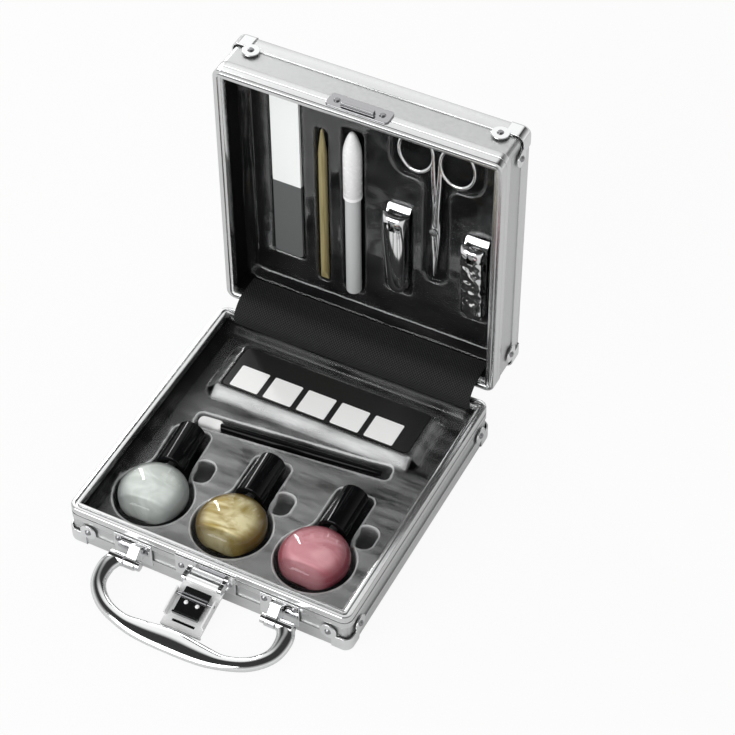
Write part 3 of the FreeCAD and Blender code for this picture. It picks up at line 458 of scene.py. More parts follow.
def seeThrough(name, veil, haze):  # clear sheet: mirror at a slant, hazy by its frost attribute, which also holds painted highlights and painted shade
    look, rough = sheetLook, sheetLook["rough"]
    material, tree, shader = finish(name, look["colour"], 1.0, rough)
    facing = node(tree, "ShaderNodeLayerWeight")
    facing.inputs["Blend"].default_value = 0.5
    steep = sums(tree, "POWER", facing.outputs["Facing"], look["slant"])
    paintedLightAndHaze = node(tree, "ShaderNodeAttribute", attribute_name="frost").outputs["Fac"]
    face = sums(tree, "MULTIPLY", sums(tree, "MINIMUM", paintedLightAndHaze, look["mostVeil"]), veil)
    mirror = sums(tree, "ADD", sums(tree, "MULTIPLY", steep, look["slantMirror"]), face)
    lines = look["streaks"]
    streaks = spread(tree, noise(tree, objectPoint(tree, lines["stretch"]), lines["scale"], 6),
                     *lines["from"], *lines["to"])
    even = spread(tree, paintedLightAndHaze, *lines["evenFrom"], streaks, 1)  # heavy values, which are painted highlights, are even
    frost = sums(tree, "MULTIPLY", sums(tree, "MULTIPLY", paintedLightAndHaze, even), haze)
    both = sums(tree, "MINIMUM", sums(tree, "ADD", mirror, frost), 1)
    shine = sums(tree, "DIVIDE", mirror, sums(tree, "ADD", sums(tree, "ADD", mirror, frost), 0.0001))
    tree.links.new(both, shader.inputs["Alpha"])
    tree.links.new(shine, shader.inputs["Metallic"])
    tree.links.new(spread(tree, shine, 0, 1, look["hazeRough"], rough), shader.inputs["Roughness"])
    waves = look["waves"]
    relief(tree, shader, noise(tree, objectPoint(tree, waves["stretch"]), waves["scale"], 2), waves["depth"])
    return material


def clearGlass(name):
    material, tree, shader = finish(name, (0.97, 0.98, 0.98), 0.0, 0.0)
    shader.inputs["Transmission Weight"].default_value = 1.0
    shader.inputs["IOR"].default_value = 1.5
    clear = node(tree, "ShaderNodeBsdfTransparent")
    path = node(tree, "ShaderNodeLightPath")
    mixer = node(tree, "ShaderNodeMixShader")
    tree.links.new(path.outputs["Is Shadow Ray"], mixer.inputs["Fac"])
    tree.links.new(shader.outputs["BSDF"], mixer.inputs[1])
    tree.links.new(clear.outputs["BSDF"], mixer.inputs[2])
    tree.links.new(mixer.outputs["Shader"], tree.nodes["Material Output"].inputs["Surface"])
    return material


def lacquerFinish(name, first, second, rim, metallic, rough):  # painted shade: darker towards the rim
    material, tree, shader = finish(name, first, metallic, rough)
    shader.inputs["Specular IOR Level"].default_value = 0.1
    swirl = use(tree, swirlEffect, Scale=45, Twist=1.5)
    body = tinted(tree, shader, swirl.outputs["Band"], first, second)
    edge = node(tree, "ShaderNodeAttribute", attribute_name="rim").outputs["Fac"]
    # painted shade: the rim attribute mixes in the darker rim colour
    tree.links.new(body, tinted(tree, shader, edge, first, rim).node.inputs["A"])
    relief(tree, shader, swirl.outputs["Fleck"], 0.0015)
    return material


def clothFinish():
    material, tree, shader = finish("hingeCloth", (0.02, 0.02, 0.021), 0.0, 0.6)
    shader.inputs["Specular IOR Level"].default_value = 0.2
    weave = use(tree, weaveEffect, Threads=88, Length=17)
    tinted(tree, shader, weave.outputs["Shade"], (0.001, 0.001, 0.001), (0.038, 0.038, 0.039))
    relief(tree, shader, weave.outputs["Height"], 0.2)
    return material


def woodFinish():
    material, tree, shader = finish("stickWood", (0.5, 0.4, 0.2), 0.0, 0.5)
    grain = noise(tree, objectPoint(tree, (900, 900, 30)), 1, 5)
    tinted(tree, shader, spread(tree, grain, 0.3, 0.7, 0, 1), (0.19, 0.15, 0.062), (0.36, 0.31, 0.15))
    relief(tree, shader, grain, 0.02)
    return material


panelFinish = grained("panelAluminium", (0.64, 0.645, 0.645), 1.0, 0.36, 0.48, 700, 0.006)[0]
rimFinish = grained("rimAluminium", (0.74, 0.745, 0.745), 1.0, 0.16, 0.26, 500, 0.003)[0]
chromeFinish = polished("chrome", (0.86, 0.865, 0.87))[0]
rivetFinish = grained("rivetSteel", (0.3, 0.3, 0.31), 1.0, 0.15, 0.3, 800, 0.003)[0]
# painted light: the lever's nickel is made a pale half-matt white as a painted highlight, the hook's near black and
# the catch plate's darker as painted shade
leverPaintedHighlight = grained("leverNickel", (0.93, 0.93, 0.93), 0.3, 0.3, 0.42, 600, 0.003)[0]
hookPaintedShade = polished("hookNickel", (0.11, 0.11, 0.115), 0.14, 0.22)[0]
catchPaintedShade = polished("catchNickel", (0.42, 0.42, 0.43), 0.1, 0.2)[0]
steelFinish = grained("hingeSteel", (0.6, 0.605, 0.61), 1.0, 0.25, 0.4, 800, 0.004)[0]
liningFinish = dulled(grained("lining", (0.004, 0.004, 0.0045), 0.0, 0.68, 0.8, 1500, 0.002), 0.05)
sheetFinish = seeThrough("clearSheet", 0.065, 0.055)
lidSheetFinish = seeThrough("clearSheetLid", 0.04, 0.004)
glassFinish = clearGlass("bottleGlass")
# the third colour of each lacquer is painted shade at its rim
silverFinish = lacquerFinish("lacquerSilver", (0.54, 0.57, 0.54), (0.70, 0.73, 0.70), (0.30, 0.32, 0.31), 0.1, 0.4)
goldFinish = lacquerFinish("lacquerGold", (0.36, 0.27, 0.085), (0.74, 0.67, 0.42), (0.15, 0.095, 0.02), 0.3, 0.42)
pinkFinish = lacquerFinish("lacquerPink", (0.54, 0.23, 0.26), (0.65, 0.34, 0.37), (0.27, 0.065, 0.085), 0.05, 0.4)
blackFinish = dulled(polished("blackGloss", (0.004, 0.004, 0.0045), 0.05, 0.1, 0.0), 0.14)
applicatorFinish = grained("applicator", (0.05, 0.05, 0.05), 0.0, 0.4, 0.6)[0]
cardFinish = grained("card", (0.012, 0.012, 0.012), 0.0, 0.3, 0.45, 1200, 0.003)[0]
whiteSheetFinish = grained("whiteSheet", (0.94, 0.94, 0.93), 0.0, 0.5, 0.65, 1200, 0.004)[0]
brushFinish = grained("brushTip", (0.94, 0.94, 0.93), 0.0, 0.7, 0.9, 1800, 0.05)[0]
clothMaterial = clothFinish()
stickMaterial = woodFinish()
pencilWhite = grained("pencilWhite", (0.84, 0.84, 0.84), 0.0, 0.22, 0.3, 500, 0.0005)[0]
pencilGrey = grained("pencilGrey", (0.46, 0.47, 0.47), 0.0, 0.3, 0.4, 500, 0.0005)[0]


fileLook = {"split": -1.7, "edge": 0.1, "grit": (0.1, 0.105, 0.105), "paper": (0.86, 0.88, 0.87)}
bossLook = {"scale": 250, "depth": 0.8}


def fileFinish():  # white paper above, grey grit below
    material, tree, shader = grained("fileBoard", (0.9, 0.9, 0.9), 0.0, 0.7, 0.9, 2600, 0.012)
    parts = node(tree, "ShaderNodeSeparateXYZ")
    tree.links.new(objectPoint(tree), parts.inputs["Vector"])
    split, edge = lidMiddle + fileLook["split"] * mm, fileLook["edge"] * mm
    mask = spread(tree, parts.outputs["Z"], split - edge, split + edge, 0, 1)
    tinted(tree, shader, mask, fileLook["grit"], fileLook["paper"])
    return material


def embossed():  # pressed pattern of small bosses
    material, tree, shader = polished("embossedChrome", (0.86, 0.865, 0.87))
    bosses = node(tree, "ShaderNodeTexVoronoi", feature="SMOOTH_F1")
    bosses.inputs["Scale"].default_value = bossLook["scale"]
    tree.links.new(objectPoint(tree), bosses.inputs["Vector"])
    relief(tree, shader, bosses.outputs["Distance"], bossLook["depth"])
    return material


fileMaterial = fileFinish()
embossedFinish = embossed()
print("finishes made")


# camera at the photograph's angle

view = {"eye": (390.17, -659.01, 900.81), "aim": (46.58, 0, 107.01), "roll": -0.461, "lens": 118.273}


def makeCamera():
    eye, aim = at(*view["eye"]), at(*view["aim"])
    turn = (aim - eye).to_track_quat("-Z", "Y") @ Matrix.Rotation(math.radians(view["roll"]), 3, "Z").to_quaternion()
    bpy.ops.object.camera_add(location=eye, rotation=turn.to_euler())
    camera = named("camera")
    camera.data.lens = view["lens"]
    camera.data.sensor_width = 36
    camera.data.clip_start, camera.data.clip_end = 0.05, 20
    bpy.context.scene.camera = camera


makeCamera()


# pale floor, soft lamps and an even surround

studio = {
    "floorSize": 8.0, "floorColour": 0.62, "floorGlow": 0.93, "floorInMirror": 0.15,
    "ambient": 0.8, "ceiling": 0.04, "horizon": 0.9,
    "glow": {"toward": (-0.34, 0.58, 0.74), "inner": 10, "outer": 31, "strength": 1.0},  # degrees
    "lamps": (  # place, aim, width and height in metres, watts
        ((-0.40, -1.15, 0.60), (0, 0.05, 0.08), 1.1, 0.8, 10.5),
        ((-0.72, 0.62, 0.52), (0, -0.04, 0.02), 0.045, 0.7, 2.2),
    ),
}


def pathMask(tree, mirror):  # what the eye and glass see directly, and the part of it in mirrors
    path = node(tree, "ShaderNodeLightPath")
    glossy = sums(tree, "MULTIPLY", path.outputs["Is Glossy Ray"], mirror)
    seen = sums(tree, "MAXIMUM", path.outputs["Is Camera Ray"], glossy)
    return sums(tree, "MAXIMUM", seen, path.outputs["Is Transmission Ray"])


def makeFloor():
    clearAll()
    bpy.ops.mesh.primitive_plane_add(size=studio["floorSize"])
    floor = named("floor")
    material, tree, shader = finish("floor", [studio["floorColour"]] * 3, 0.0, 0.9)
    shader.inputs["Specular IOR Level"].default_value = 0
    glow = node(tree, "ShaderNodeEmission")
    mixer = node(tree, "ShaderNodeMixShader")
    share = sums(tree, "MULTIPLY", pathMask(tree, studio["floorInMirror"]), studio["floorGlow"])
    tree.links.new(share, mixer.inputs["Fac"])
    tree.links.new(shader.outputs["BSDF"], mixer.inputs[1])
    tree.links.new(glow.outputs["Emission"], mixer.inputs[2])
    tree.links.new(mixer.outputs["Shader"], tree.nodes["Material Output"].inputs["Surface"])
    floor.data.materials.append(material)


def makeSurround():  # white to the eye, for mirrors a soft glow and a dark ceiling
    world = bpy.data.worlds.new("surround")
    bpy.context.scene.world = world
    world.use_nodes = True
    tree = world.node_tree
    ground = tree.nodes["Background"]
    ground.inputs["Color"].default_value = (1, 1, 1, 1)
    where = node(tree, "ShaderNodeTexCoord")
    parts = node(tree, "ShaderNodeSeparateXYZ")
    tree.links.new(where.outputs["Generated"], parts.inputs["Vector"])
    gradient = spread(tree, parts.outputs["Z"], 0.05, 0.7, studio["horizon"], studio["ceiling"])
    glow = studio["glow"]
    toward = node(tree, "ShaderNodeVectorMath", operation="DOT_PRODUCT")
    toward.inputs[1].default_value = Vector(glow["toward"]).normalized()
    tree.links.new(where.outputs["Generated"], toward.inputs[0])
    edge, core = (math.cos(math.radians(glow[label])) for label in ("outer", "inner"))
    soft = node(tree, "ShaderNodeMapRange", interpolation_type="SMOOTHSTEP")
    for label, value in (("From Min", edge), ("From Max", core), ("To Min", 0), ("To Max", glow["strength"])):
        soft.inputs[label].default_value = value
    tree.links.new(toward.outputs["Value"], soft.inputs["Value"])
    mirrored = sums(tree, "ADD", gradient, soft.outputs["Result"])
    path = node(tree, "ShaderNodeLightPath")
    lit = spread(tree, path.outputs["Is Glossy Ray"], 0, 1, studio["ambient"], mirrored)
    eye = sums(tree, "MAXIMUM", path.outputs["Is Camera Ray"], path.outputs["Is Transmission Ray"])
    tree.links.new(sums(tree, "MAXIMUM", lit, eye), ground.inputs["Strength"])


def makeLamps():
    for index, (place, aim, width, height, watts) in enumerate(studio["lamps"]):
        place, aim = Vector(place), Vector(aim)
        turn = (aim - place).to_track_quat("-Z", "Y").to_euler()
        bpy.ops.object.light_add(type="AREA", location=place, rotation=turn)
        lamp = named("lamp" + str(index))
        lamp.data.shape = "RECTANGLE"
        lamp.data.size, lamp.data.size_y = width, height
        lamp.data.energy = watts


makeFloor()
makeSurround()
makeLamps()
bpy.context.scene.view_settings.view_transform = "Standard"
print("stage ready")


# CAD nodes that keep their shape

dress(panelFinish, "base_wall_panels", "base_floor_panel", "lid_wall_panels", "lid_top_panel")
# the hook's pin takes the dark rivet steel as painted shade, like the hook
dress(rivetFinish, "base_rivets", "lid_rivets", "latch_hook_pin")
dress(chromeFinish, "latch_pin", "handle_pins", "scissor_screw", "large_clipper_post", "small_clipper_post")
dress(steelFinish, "hinge_lower_leaf", "hinge_upper_leaf", "hinge_pin")
dress(liningFinish, "base_lining", "lid_lining")
dress(applicatorFinish, "applicator_silver", "applicator_gold", "applicator_pink")
print("nodes dressed")


# clear formed trays

traySheet = {"thickness": 0.5, "cell": 3.2, "finest": 0.4, "bend": 0.95, "narrow": 3.0}


def boxDistance(x, y, centre, half, radius, degrees=0):  # negative inside a rounded box
    turn = math.radians(degrees)
    dx, dy = x - centre[0], y - centre[1]
    alongX = abs(dx * math.cos(turn) + dy * math.sin(turn)) - half[0] + radius
    alongY = abs(dy * math.cos(turn) - dx * math.sin(turn)) - half[1] + radius
    return math.hypot(max(alongX, 0), max(alongY, 0)) + min(max(alongX, alongY), 0) - radius


def blended(a, b, width):  # the nearer of two distances, with a fillet between them
    overlap = max(width - abs(a - b), 0) / width
    return min(a, b) - overlap * overlap * width / 4


def eased(value, low, high):
    t = min(max((value - low) / (high - low), 0), 1)
    return t * t * (3 - 2 * t)


baseForm = {
    "half": 70.2, "flange": 14.0, "border": 19.0, "slope": 4.0,
    "seat": {"centre": (0, 44.8), "half": (53.0, 14.8), "slope": 7.0, "card": (51.8, 14.0), "sink": 0.8},
    "brush": {"centre": (-2.5, 14.2), "half": (50.9, 4.0), "turn": 6, "floor": 10.0},
    "bottles": {"silver": (-47.0, 4.0), "gold": (-4.0, 1.5), "pink": (40.5, 0.5)},
    "bottleRow": -43.5, "bottleRadius": 18.1, "channel": 8.4, "channelEnd": 44.0, "floor": 5.9, "draft": 0.9,
    "recess": {"place": (15.2, 22.4), "half": (4.8, 6.4), "floor": 8.0},
    # these values hold the sheet's even haze and painted light: a painted highlight band on the seat's front slope, a
    # painted sheen on pocket walls, a painted highlight line along each bend, and painted shade in the pockets,
    # behind the seat, to the left and to the back
    "frost": {"flat": 1.1, "slope": 0.05, "seat": 5.2, "seatEnd": (2.0, 1.6), "seatBack": 0.2, "pocket": 0.2,
              "wall": 0.45, "line": 9.5, "highlightLineWidth": 0.36, "left": (-69, -30), "leftShare": 0.2,
              "back": (14, 30), "backPaintedShade": 0.35},
}


def baseWalls(x, y):  # distance to each bend line with the width that it spreads over
    form, bend = baseForm, traySheet["bend"]
    low = form["half"] - form["slope"]
    seat, brush, recess = form["seat"], form["brush"], form["recess"]
    walls = {"border": (boxDistance(x, y, (0, 0), (low, low), 3), 0, form["slope"]),
             "seat": (boxDistance(x, y, seat["centre"], seat["half"], 2.2), 0, seat["slope"]),
             "card": (boxDistance(x, y, seat["centre"], seat["card"], 2.2), -0.3, 0.3),
             "brush": (boxDistance(x, y, brush["centre"], brush["half"], 2.2, brush["turn"]), -bend, bend)}
    for name, (across, degrees) in form["bottles"].items():
        turn = math.radians(degrees)
        dx, dy = x - across, y - form["bottleRow"]
        px, py = dx * math.cos(turn) + dy * math.sin(turn), dy * math.cos(turn) - dx * math.sin(turn)
        middle = form["channelEnd"] / 2
        channel = boxDistance(px, py, (0, middle), (form["channel"], middle), 2.2)
        pocket = blended(math.hypot(px, py) - form["bottleRadius"], channel, 5)
        walls[name] = (pocket, -bend, bend + form["draft"])
        walls[name + "Recess"] = (boxDistance(px, py, recess["place"], recess["half"], 4.2), -bend, bend)
    return walls


def baseHeight(x, y):
    form, walls = baseForm, baseWalls(x, y)
    share = {name: eased(*wall) for name, wall in walls.items()}
    rise = form["border"] - form["flange"]
    height = form["flange"] + rise * max(share["border"], 1 - share["seat"])
    height -= form["seat"]["sink"] * (1 - share["card"])
    height = min(height, form["brush"]["floor"] + (height - form["brush"]["floor"]) * share["brush"])
    for name in form["bottles"]:
        for wall, floor in ((name + "Recess", form["recess"]["floor"]), (name, form["floor"])):
            height = min(height, floor + (height - floor) * share[wall])
    return height


def pocketPaintedLight(value, walls, names, frost):  # pockets with painted shade inside, a painted sheen on their walls and a painted highlight line along their upper bend
    line = 0
    for name in names:
        distance, low, high = walls[name]
        share = eased(distance, low, high)
        value = frost["pocket"] + (value - frost["pocket"]) * share + 4 * frost["wall"] * share * (1 - share)
        line = max(line, math.exp(-((distance - high) / frost["highlightLineWidth"]) ** 2))
    return value + (frost["line"] - value) * line


def baseHazeAndPaintedLight(x, y):
    form, walls, frost = baseForm, baseWalls(x, y), baseForm["frost"]
    border, seat = eased(*walls["border"]), eased(*walls["seat"])
    # painted highlight: a pale band along the seat's front slope, fading past its ends and weaker behind the seat
    past, fade = frost["seatEnd"]
    inside = form["seat"]["half"][0] + past - abs(x - form["seat"]["centre"][0])
    ahead = y < form["seat"]["centre"][1] - form["seat"]["half"][1]
    seatSheenShare = eased(inside, 0, fade) if ahead else frost["seatBack"]
    # painted shade: less haze towards the left and towards the back
    flat = frost["flat"] * (frost["leftShare"] + (1 - frost["leftShare"]) * eased(x, *frost["left"]))
    flat *= 1 - (1 - frost["backPaintedShade"]) * eased(y, *frost["back"])
    value = flat + (frost["slope"] - flat) * border
    value += (frost["seat"] * seatSheenShare - value) * min(14 * seat * (1 - seat), 1)
    pockets = ["brush"] + [name + label for name in form["bottles"] for label in ("Recess", "")]
    return pocketPaintedLight(value, walls, pockets, frost)


lidForm = {
    "half": 70.2, "flange": 10.5, "border": 15.5, "slope": 4.0,
    "pockets": {  # centre, half sizes, corner radius, floor
        "file": ((-47.8, 2.4), (8.7, 52.9), 2.2, 8.9),
        "stick": ((-28.3, -9.35), (3.1, 50.15), 2.2, 7.0),
        "pencil": ((-11.4, -6.5), (5.6, 52.9), 2.2, 5.9),
        "largeClipper": ((13.2, -20.25), (7.0, 28.65), 2.2, 5.9),
        "smallClipper": ((54.8, -22.5), (7.0, 26.9), 2.2, 5.9),
    },
    "scissors": {"rings": ((33, 46.0), (24.4, 15.9), 10), "blades": ((33, 6.0), (6.4, 40.0), 5.8), "floor": 8.8},
    # the line is a painted highlight along each bend, the wall value a painted sheen, the pocket value painted shade
    # in the pockets
    "frost": {"flat": 1.0, "slope": 0.3, "pocket": 0.1, "wall": 0.1, "line": 5.0, "highlightLineWidth": 0.5},
}


def lidWalls(x, y):
    form, bend = lidForm, traySheet["bend"]
    low = form["half"] - form["slope"]
    walls = {"border": (boxDistance(x, y, (0, 0), (low, low), 3), 0, form["slope"])}
    for name, (centre, half, radius, floor) in form["pockets"].items():
        walls[name] = (boxDistance(x, y, centre, half, radius), -bend, bend)
    rings = boxDistance(x, y, *form["scissors"]["rings"])
    walls["scissors"] = (blended(rings, boxDistance(x, y, *form["scissors"]["blades"]), 6), -bend, bend)
    return walls


def lidHeight(x, y):
    form, walls = lidForm, lidWalls(x, y)
    height = form["flange"] + (form["border"] - form["flange"]) * eased(*walls["border"])
    floors = {name: pocket[3] for name, pocket in form["pockets"].items()}
    floors["scissors"] = form["scissors"]["floor"]
    for name, floor in floors.items():
        height = min(height, floor + (height - floor) * eased(*walls[name]))
    return height


def lidHazeAndPaintedLight(x, y):
    walls, frost = lidWalls(x, y), lidForm["frost"]
    value = frost["flat"] + (frost["slope"] - frost["flat"]) * eased(*walls["border"])
    return pocketPaintedLight(value, walls, [name for name in walls if name != "border"], frost)


def formedSheet(name, form, wallsAt, heightAt, hazeAndPaintedLightAt):
    clearAll()
    cells = round(form["half"] * 2 / traySheet["cell"])
    bpy.ops.mesh.primitive_grid_add(x_subdivisions=cells, y_subdivisions=cells, size=form["half"] * 2 * mm)
    obj = named(name)
    cell = traySheet["cell"]
    while cell > traySheet["finest"]:  # finer only where the sheet bends
        def bends(face):
            walls = wallsAt(face.center.x / mm, face.center.y / mm).values()
            return any(low - cell * 0.75 < distance < high + cell * 0.75 for distance, low, high in walls
                       if high - low < traySheet["narrow"] or cell > traySheet["finest"] * 2.5)
        pick(obj, "FACE", bends)
        bpy.ops.mesh.subdivide(number_cuts=1)
        leaveEdit()
        cell /= 2
    # the frost attribute holds the sheet's haze together with painted highlights and painted shade
    frost = obj.data.attributes.new("frost", "FLOAT", "POINT")
    for vertex in obj.data.vertices:
        x, y = vertex.co.x / mm, vertex.co.y / mm
        vertex.co.z = heightAt(x, y) * mm
        frost.data[vertex.index].value = hazeAndPaintedLightAt(x, y)
    applied(obj, "SOLIDIFY", thickness=traySheet["thickness"] * mm, offset=-1, use_even_offset=False)
    return smooth(obj, 65)


baseTray = formedSheet("baseTray", baseForm, baseWalls, baseHeight, baseHazeAndPaintedLight)
placed(baseTray, Matrix.Translation(at(0, 0, 0)))
finished(baseTray, "base", "clear_sheet", sheetFinish, "base_tray")
lidTray = formedSheet("lidTray", lidForm, lidWalls, lidHeight, lidHazeAndPaintedLight)
lidPlaced(lidTray, 0, 0, 0)
finished(lidTray, "lid", "clear_sheet", lidSheetFinish, "lid_tray")
print("trays formed:", len(baseTray.data.polygons), len(lidTray.data.polygons), "faces")


# lacquer bottles

bottleForm = {"radius": 17.2, "half": 9.25, "power": 2.35, "foot": 15.4, "footSoft": 2.6, "wall": 1.5,
              "floor": 5.6, "neck": 5.0, "neckEnd": 25.2, "middle": 15.15, "rim": (0.64, 0.98)}
capForm = {"radius": 7.5, "endRadius": 7.2, "length": 25.6, "start": 17.5, "bore": 5.2, "boreDepth": 8.0,
           "round": 0.9, "lip": 0.35}


def pebbleProfile(radius, half, count=28):
    points, power = [], 2 / bottleForm["power"]
    for index in range(count * 2 + 1):
        turn = math.pi * index / (count * 2)
        side = 1 if math.cos(turn) >= 0 else -1
        points.append((radius * abs(math.sin(turn)) ** power, side * half * abs(math.cos(turn)) ** power))
    points[0], points[-1] = (0, half), (0, -half)
    return points


def pebble(name, radius, half, foot):
    obj = lathe(name, pebbleProfile(radius, half), 96)
    soft = bottleForm["footSoft"]
    for vertex in obj.data.vertices:  # the foot is pressed flat, with a soft edge
        over = -vertex.co.y / mm - foot + soft
        if over > 0:
            vertex.co.y = -(foot - soft + soft * math.tanh(over / soft)) * mm
    return obj


def glassShape():
    form = bottleForm
    obj = pebble("bottleGlass", form["radius"], form["half"], form["foot"])
    neck = lathe("bottleNeck", [(0, 6), (form["neck"], 6), (form["neck"], form["neckEnd"]), (0, form["neckEnd"])], 48)
    placed(neck, Matrix.Rotation(math.radians(-90), 4, "X"))
    applied(obj, "BOOLEAN", operation="UNION", object=neck, solver="EXACT")
    bpy.data.objects.remove(neck)
    return smooth(closed(obj), 40)


def capShape():
    form = capForm
    length, end = form["length"], form["endRadius"]
    profile = [(0, form["boreDepth"]), (form["bore"], form["boreDepth"]), (form["bore"], 0),
               (form["radius"] - form["lip"], 0), (form["radius"], form["lip"])]
    profile += arcPoints((end - form["round"], length - form["round"]), form["round"], 0, 90, 6)
    profile += [(0, length)]
    obj = lathe("bottleCap", profile, 80)
    placed(obj, Matrix.Rotation(math.radians(-90), 4, "X") @ Matrix.Translation((0, 0, form["start"] * mm)))
    return smooth(obj, 30)


def makeBottles():
    form = bottleForm
    glass, cap = glassShape(), capShape()
    paint = pebble("bottleLacquer", form["radius"] - form["wall"], form["half"] - form["wall"],
                   form["foot"] - form["floor"])
    smooth(paint, 40)
    # painted shade: the rim attribute grows towards the lacquer's outline
    rim = paint.data.attributes.new("rim", "FLOAT", "POINT")
    for vertex in paint.data.vertices:
        share = math.hypot(vertex.co.x, vertex.co.y) / mm / (form["radius"] - form["wall"])
        rim.data[vertex.index].value = eased(share, *form["rim"])
    finishes = {"silver": silverFinish, "gold": goldFinish, "pink": pinkFinish}
    for name, (across, degrees) in baseForm["bottles"].items():
        place = turnedTo(at(across, baseForm["bottleRow"], form["middle"]), degrees)
        for shape, label, body, slotName, material, replaced in (
                (glass, "bottle", "base", "bottle_glass", glassFinish, "bottle_" + name),
                (paint, "lacquer", "base", "lacquer_" + name, finishes[name], "lacquer_" + name),
                (cap, "cap", "bottle_cap_" + name, "black_gloss", blackFinish, "bottle_cap_" + name)):
            piece = bpy.data.objects.new(label + name.capitalize(), shape.data.copy())
            bpy.context.scene.collection.objects.link(piece)
            placed(piece, place)
            finished(piece, body, slotName, material, replaced)
    for shape in (glass, paint, cap):
        bpy.data.objects.remove(shape)


makeBottles()
print("bottles made")


# carrying handle: a skin over rings along the bow

bowForm = {
    "halfSpan": 45.556, "reach": 28.4, "pivot": (0, -80.8, 8.6), "tilt": 10.55,
    "arm": (8.6, 5.8), "grip": (12.4, 6.2), "rings": 72, "ringPoints": 40,
    "path": ((0.990, 0.00, 0.0), (1.050, 0.22, 0.0), (1.020, 0.56, -0.30), (0.850, 0.84, -0.40),
             (0.600, 0.99, -0.30), (0.350, 1.02, 0.45), (0.000, 1.00, 1.0)),
    "eyeRadius": 3.2, "eyeRound": 0.5, "eyeX": 45.1,
}


def curvePoint(points, t):  # a smooth curve through the points, t counts along them
    last = len(points) - 1
    index = min(int(t), last - 1)
    f = t - index
    p0, p1, p2, p3 = (points[min(max(index + k, 0), last)] for k in (-1, 0, 1, 2))
    return [0.5 * (2 * b + (c - a) * f + (2 * a - 5 * b + 4 * c - d) * f * f
                   + (3 * b - a - 3 * c + d) * f * f * f) for a, b, c, d in zip(p0, p1, p2, p3)]


def bowRings():
    form = bowForm
    half = [(form["halfSpan"] * x, -form["reach"] * y, grown) for x, y, grown in form["path"]]
    stations = half + [(-x, y, grown) for x, y, grown in reversed(half[:-1])]
    return [curvePoint(stations, (len(stations) - 1) * i / form["rings"]) for i in range(form["rings"] + 1)]


def makeHandle():
    form, line, rings = bowForm, bowRings(), []
    for index, (x, y, grown) in enumerate(line):
        before, after = line[max(index - 1, 0)], line[min(index + 1, len(line) - 1)]
        run = Vector((after[0] - before[0], after[1] - before[1], 0)).normalized()
        if index in (0, len(line) - 1):
            run = Vector((0, -1 if index == 0 else 1, 0))
        across, thick = ((a + (g - a) * grown) / 2 for a, g in zip(form["arm"], form["grip"]))
        side, up = run.cross(Vector((0, 0, 1))), Vector((0, 0, 1))
        turns = [math.tau * i / form["ringPoints"] for i in range(form["ringPoints"])]
        rings.append([Vector((x, y, 0)) + side * across * math.cos(t) + up * thick * math.sin(t) for t in turns])
    parts = [skinned("bow", rings)]
    for side in (-1, 1):
        length, radius, soft = form["arm"][0], form["eyeRadius"], form["eyeRound"]
        eye = lathe("eye", [(0, 0), (radius - soft, 0), (radius, soft), (radius, length - soft),
                            (radius - soft, length), (0, length)], 48)
        start = side * form["eyeX"] - length / 2
        parts.append(placed(eye, Matrix.Translation((start * mm, 0, 0)) @ Matrix.Rotation(math.radians(90), 4, "Y")))
    bow = joined(parts, "handleBow")
    placed(bow, turnedTo(at(*form["pivot"]), 0, form["tilt"]))
    smooth(bow, 40)
    finished(bow, "handle", "chrome", chromeFinish, "handle_bow")


makeHandle()
print("handle made")


# small metal pieces: the CAD shapes with their edges rounded

softEdges = {  # node: body, slot, edge radius in millimetres, its own finish if not chrome
    "latch_plate": ("base", "chrome", 0.3), "latch_lever": ("latch_lever", "chrome", 0.3, leverPaintedHighlight),
    "latch_hook": ("latch_hook", "chrome", 0.3, hookPaintedShade), "handle_bracket_left": ("base", "chrome", 0.35),
    "handle_bracket_right": ("base", "chrome", 0.35), "catch_plate": ("lid", "chrome", 0.3, catchPaintedShade),
    "large_clipper_jaws": ("lid", "chrome", 0.25), "small_clipper_jaws": ("lid", "chrome", 0.25),
    "base_corner_caps": ("base", "chrome", 0.25), "lid_corner_caps": ("lid", "chrome", 0.25),
}


def camel(name):
    first, *rest = name.split("_")
    return first + "".join(word.capitalize() for word in rest)


def makeSoftEdges():
    for name, (body, slotName, radius, *special) in softEdges.items():
        piece = copyOf(name, camel(name))
        rounded(piece, radius, 2, 30)
        finished(piece, body, slotName, special[0] if special else chromeFinish, name)


makeSoftEdges()
print("metal edges rounded")


# latch: two rivet heads on the hook, in the lever's pale finish as painted highlights, and a dark strip under the
# lever's slot as a painted shadow

latchForm = {"pin": (0, -78.1, 11.8), "fold": 105.1, "hookFace": -78.4, "heads": (3.0, 23.2),
             "head": ((0, 0.7), (0.35, 0.66), (0.7, 0.5), (0.98, 0.24), (1.1, 0), (1.1, -0.2), (0, -0.2)),
             "strip": ((-7.0, -82.25, 31.0), (7.0, -81.88, 34.0))}


def makeLatchTrim():
    form = latchForm
    pin = Vector(form["pin"]) * mm
    fold = (Matrix.Translation(at(0, 0, 0)) @ Matrix.Translation(pin)
            @ Matrix.Rotation(math.radians(form["fold"]), 4, "X") @ Matrix.Translation(-pin))
    across, rise = form["heads"]
    heads = []
    for side in (-1, 1):
        head = smooth(lathe("head", form["head"], 24), 60)
        place = Matrix.Translation(Vector((side * across, form["hookFace"], rise)) * mm)
        heads.append(placed(head, fold @ place @ Matrix.Rotation(math.radians(-90), 4, "X")))
    finished(joined(heads, "hookRivets"), "latch_hook", "chrome", leverPaintedHighlight)
    # painted shadow: a black strip under the lever's slot makes the slot read dark
    strip = rounded(box("leverSlotShade", *form["strip"]), 0.12, 2)
    finished(placed(strip, fold), "latch_lever", "black_gloss", blackFinish)


makeLatchTrim()
print("latch trimmed")


# nail clippers: crowned levers

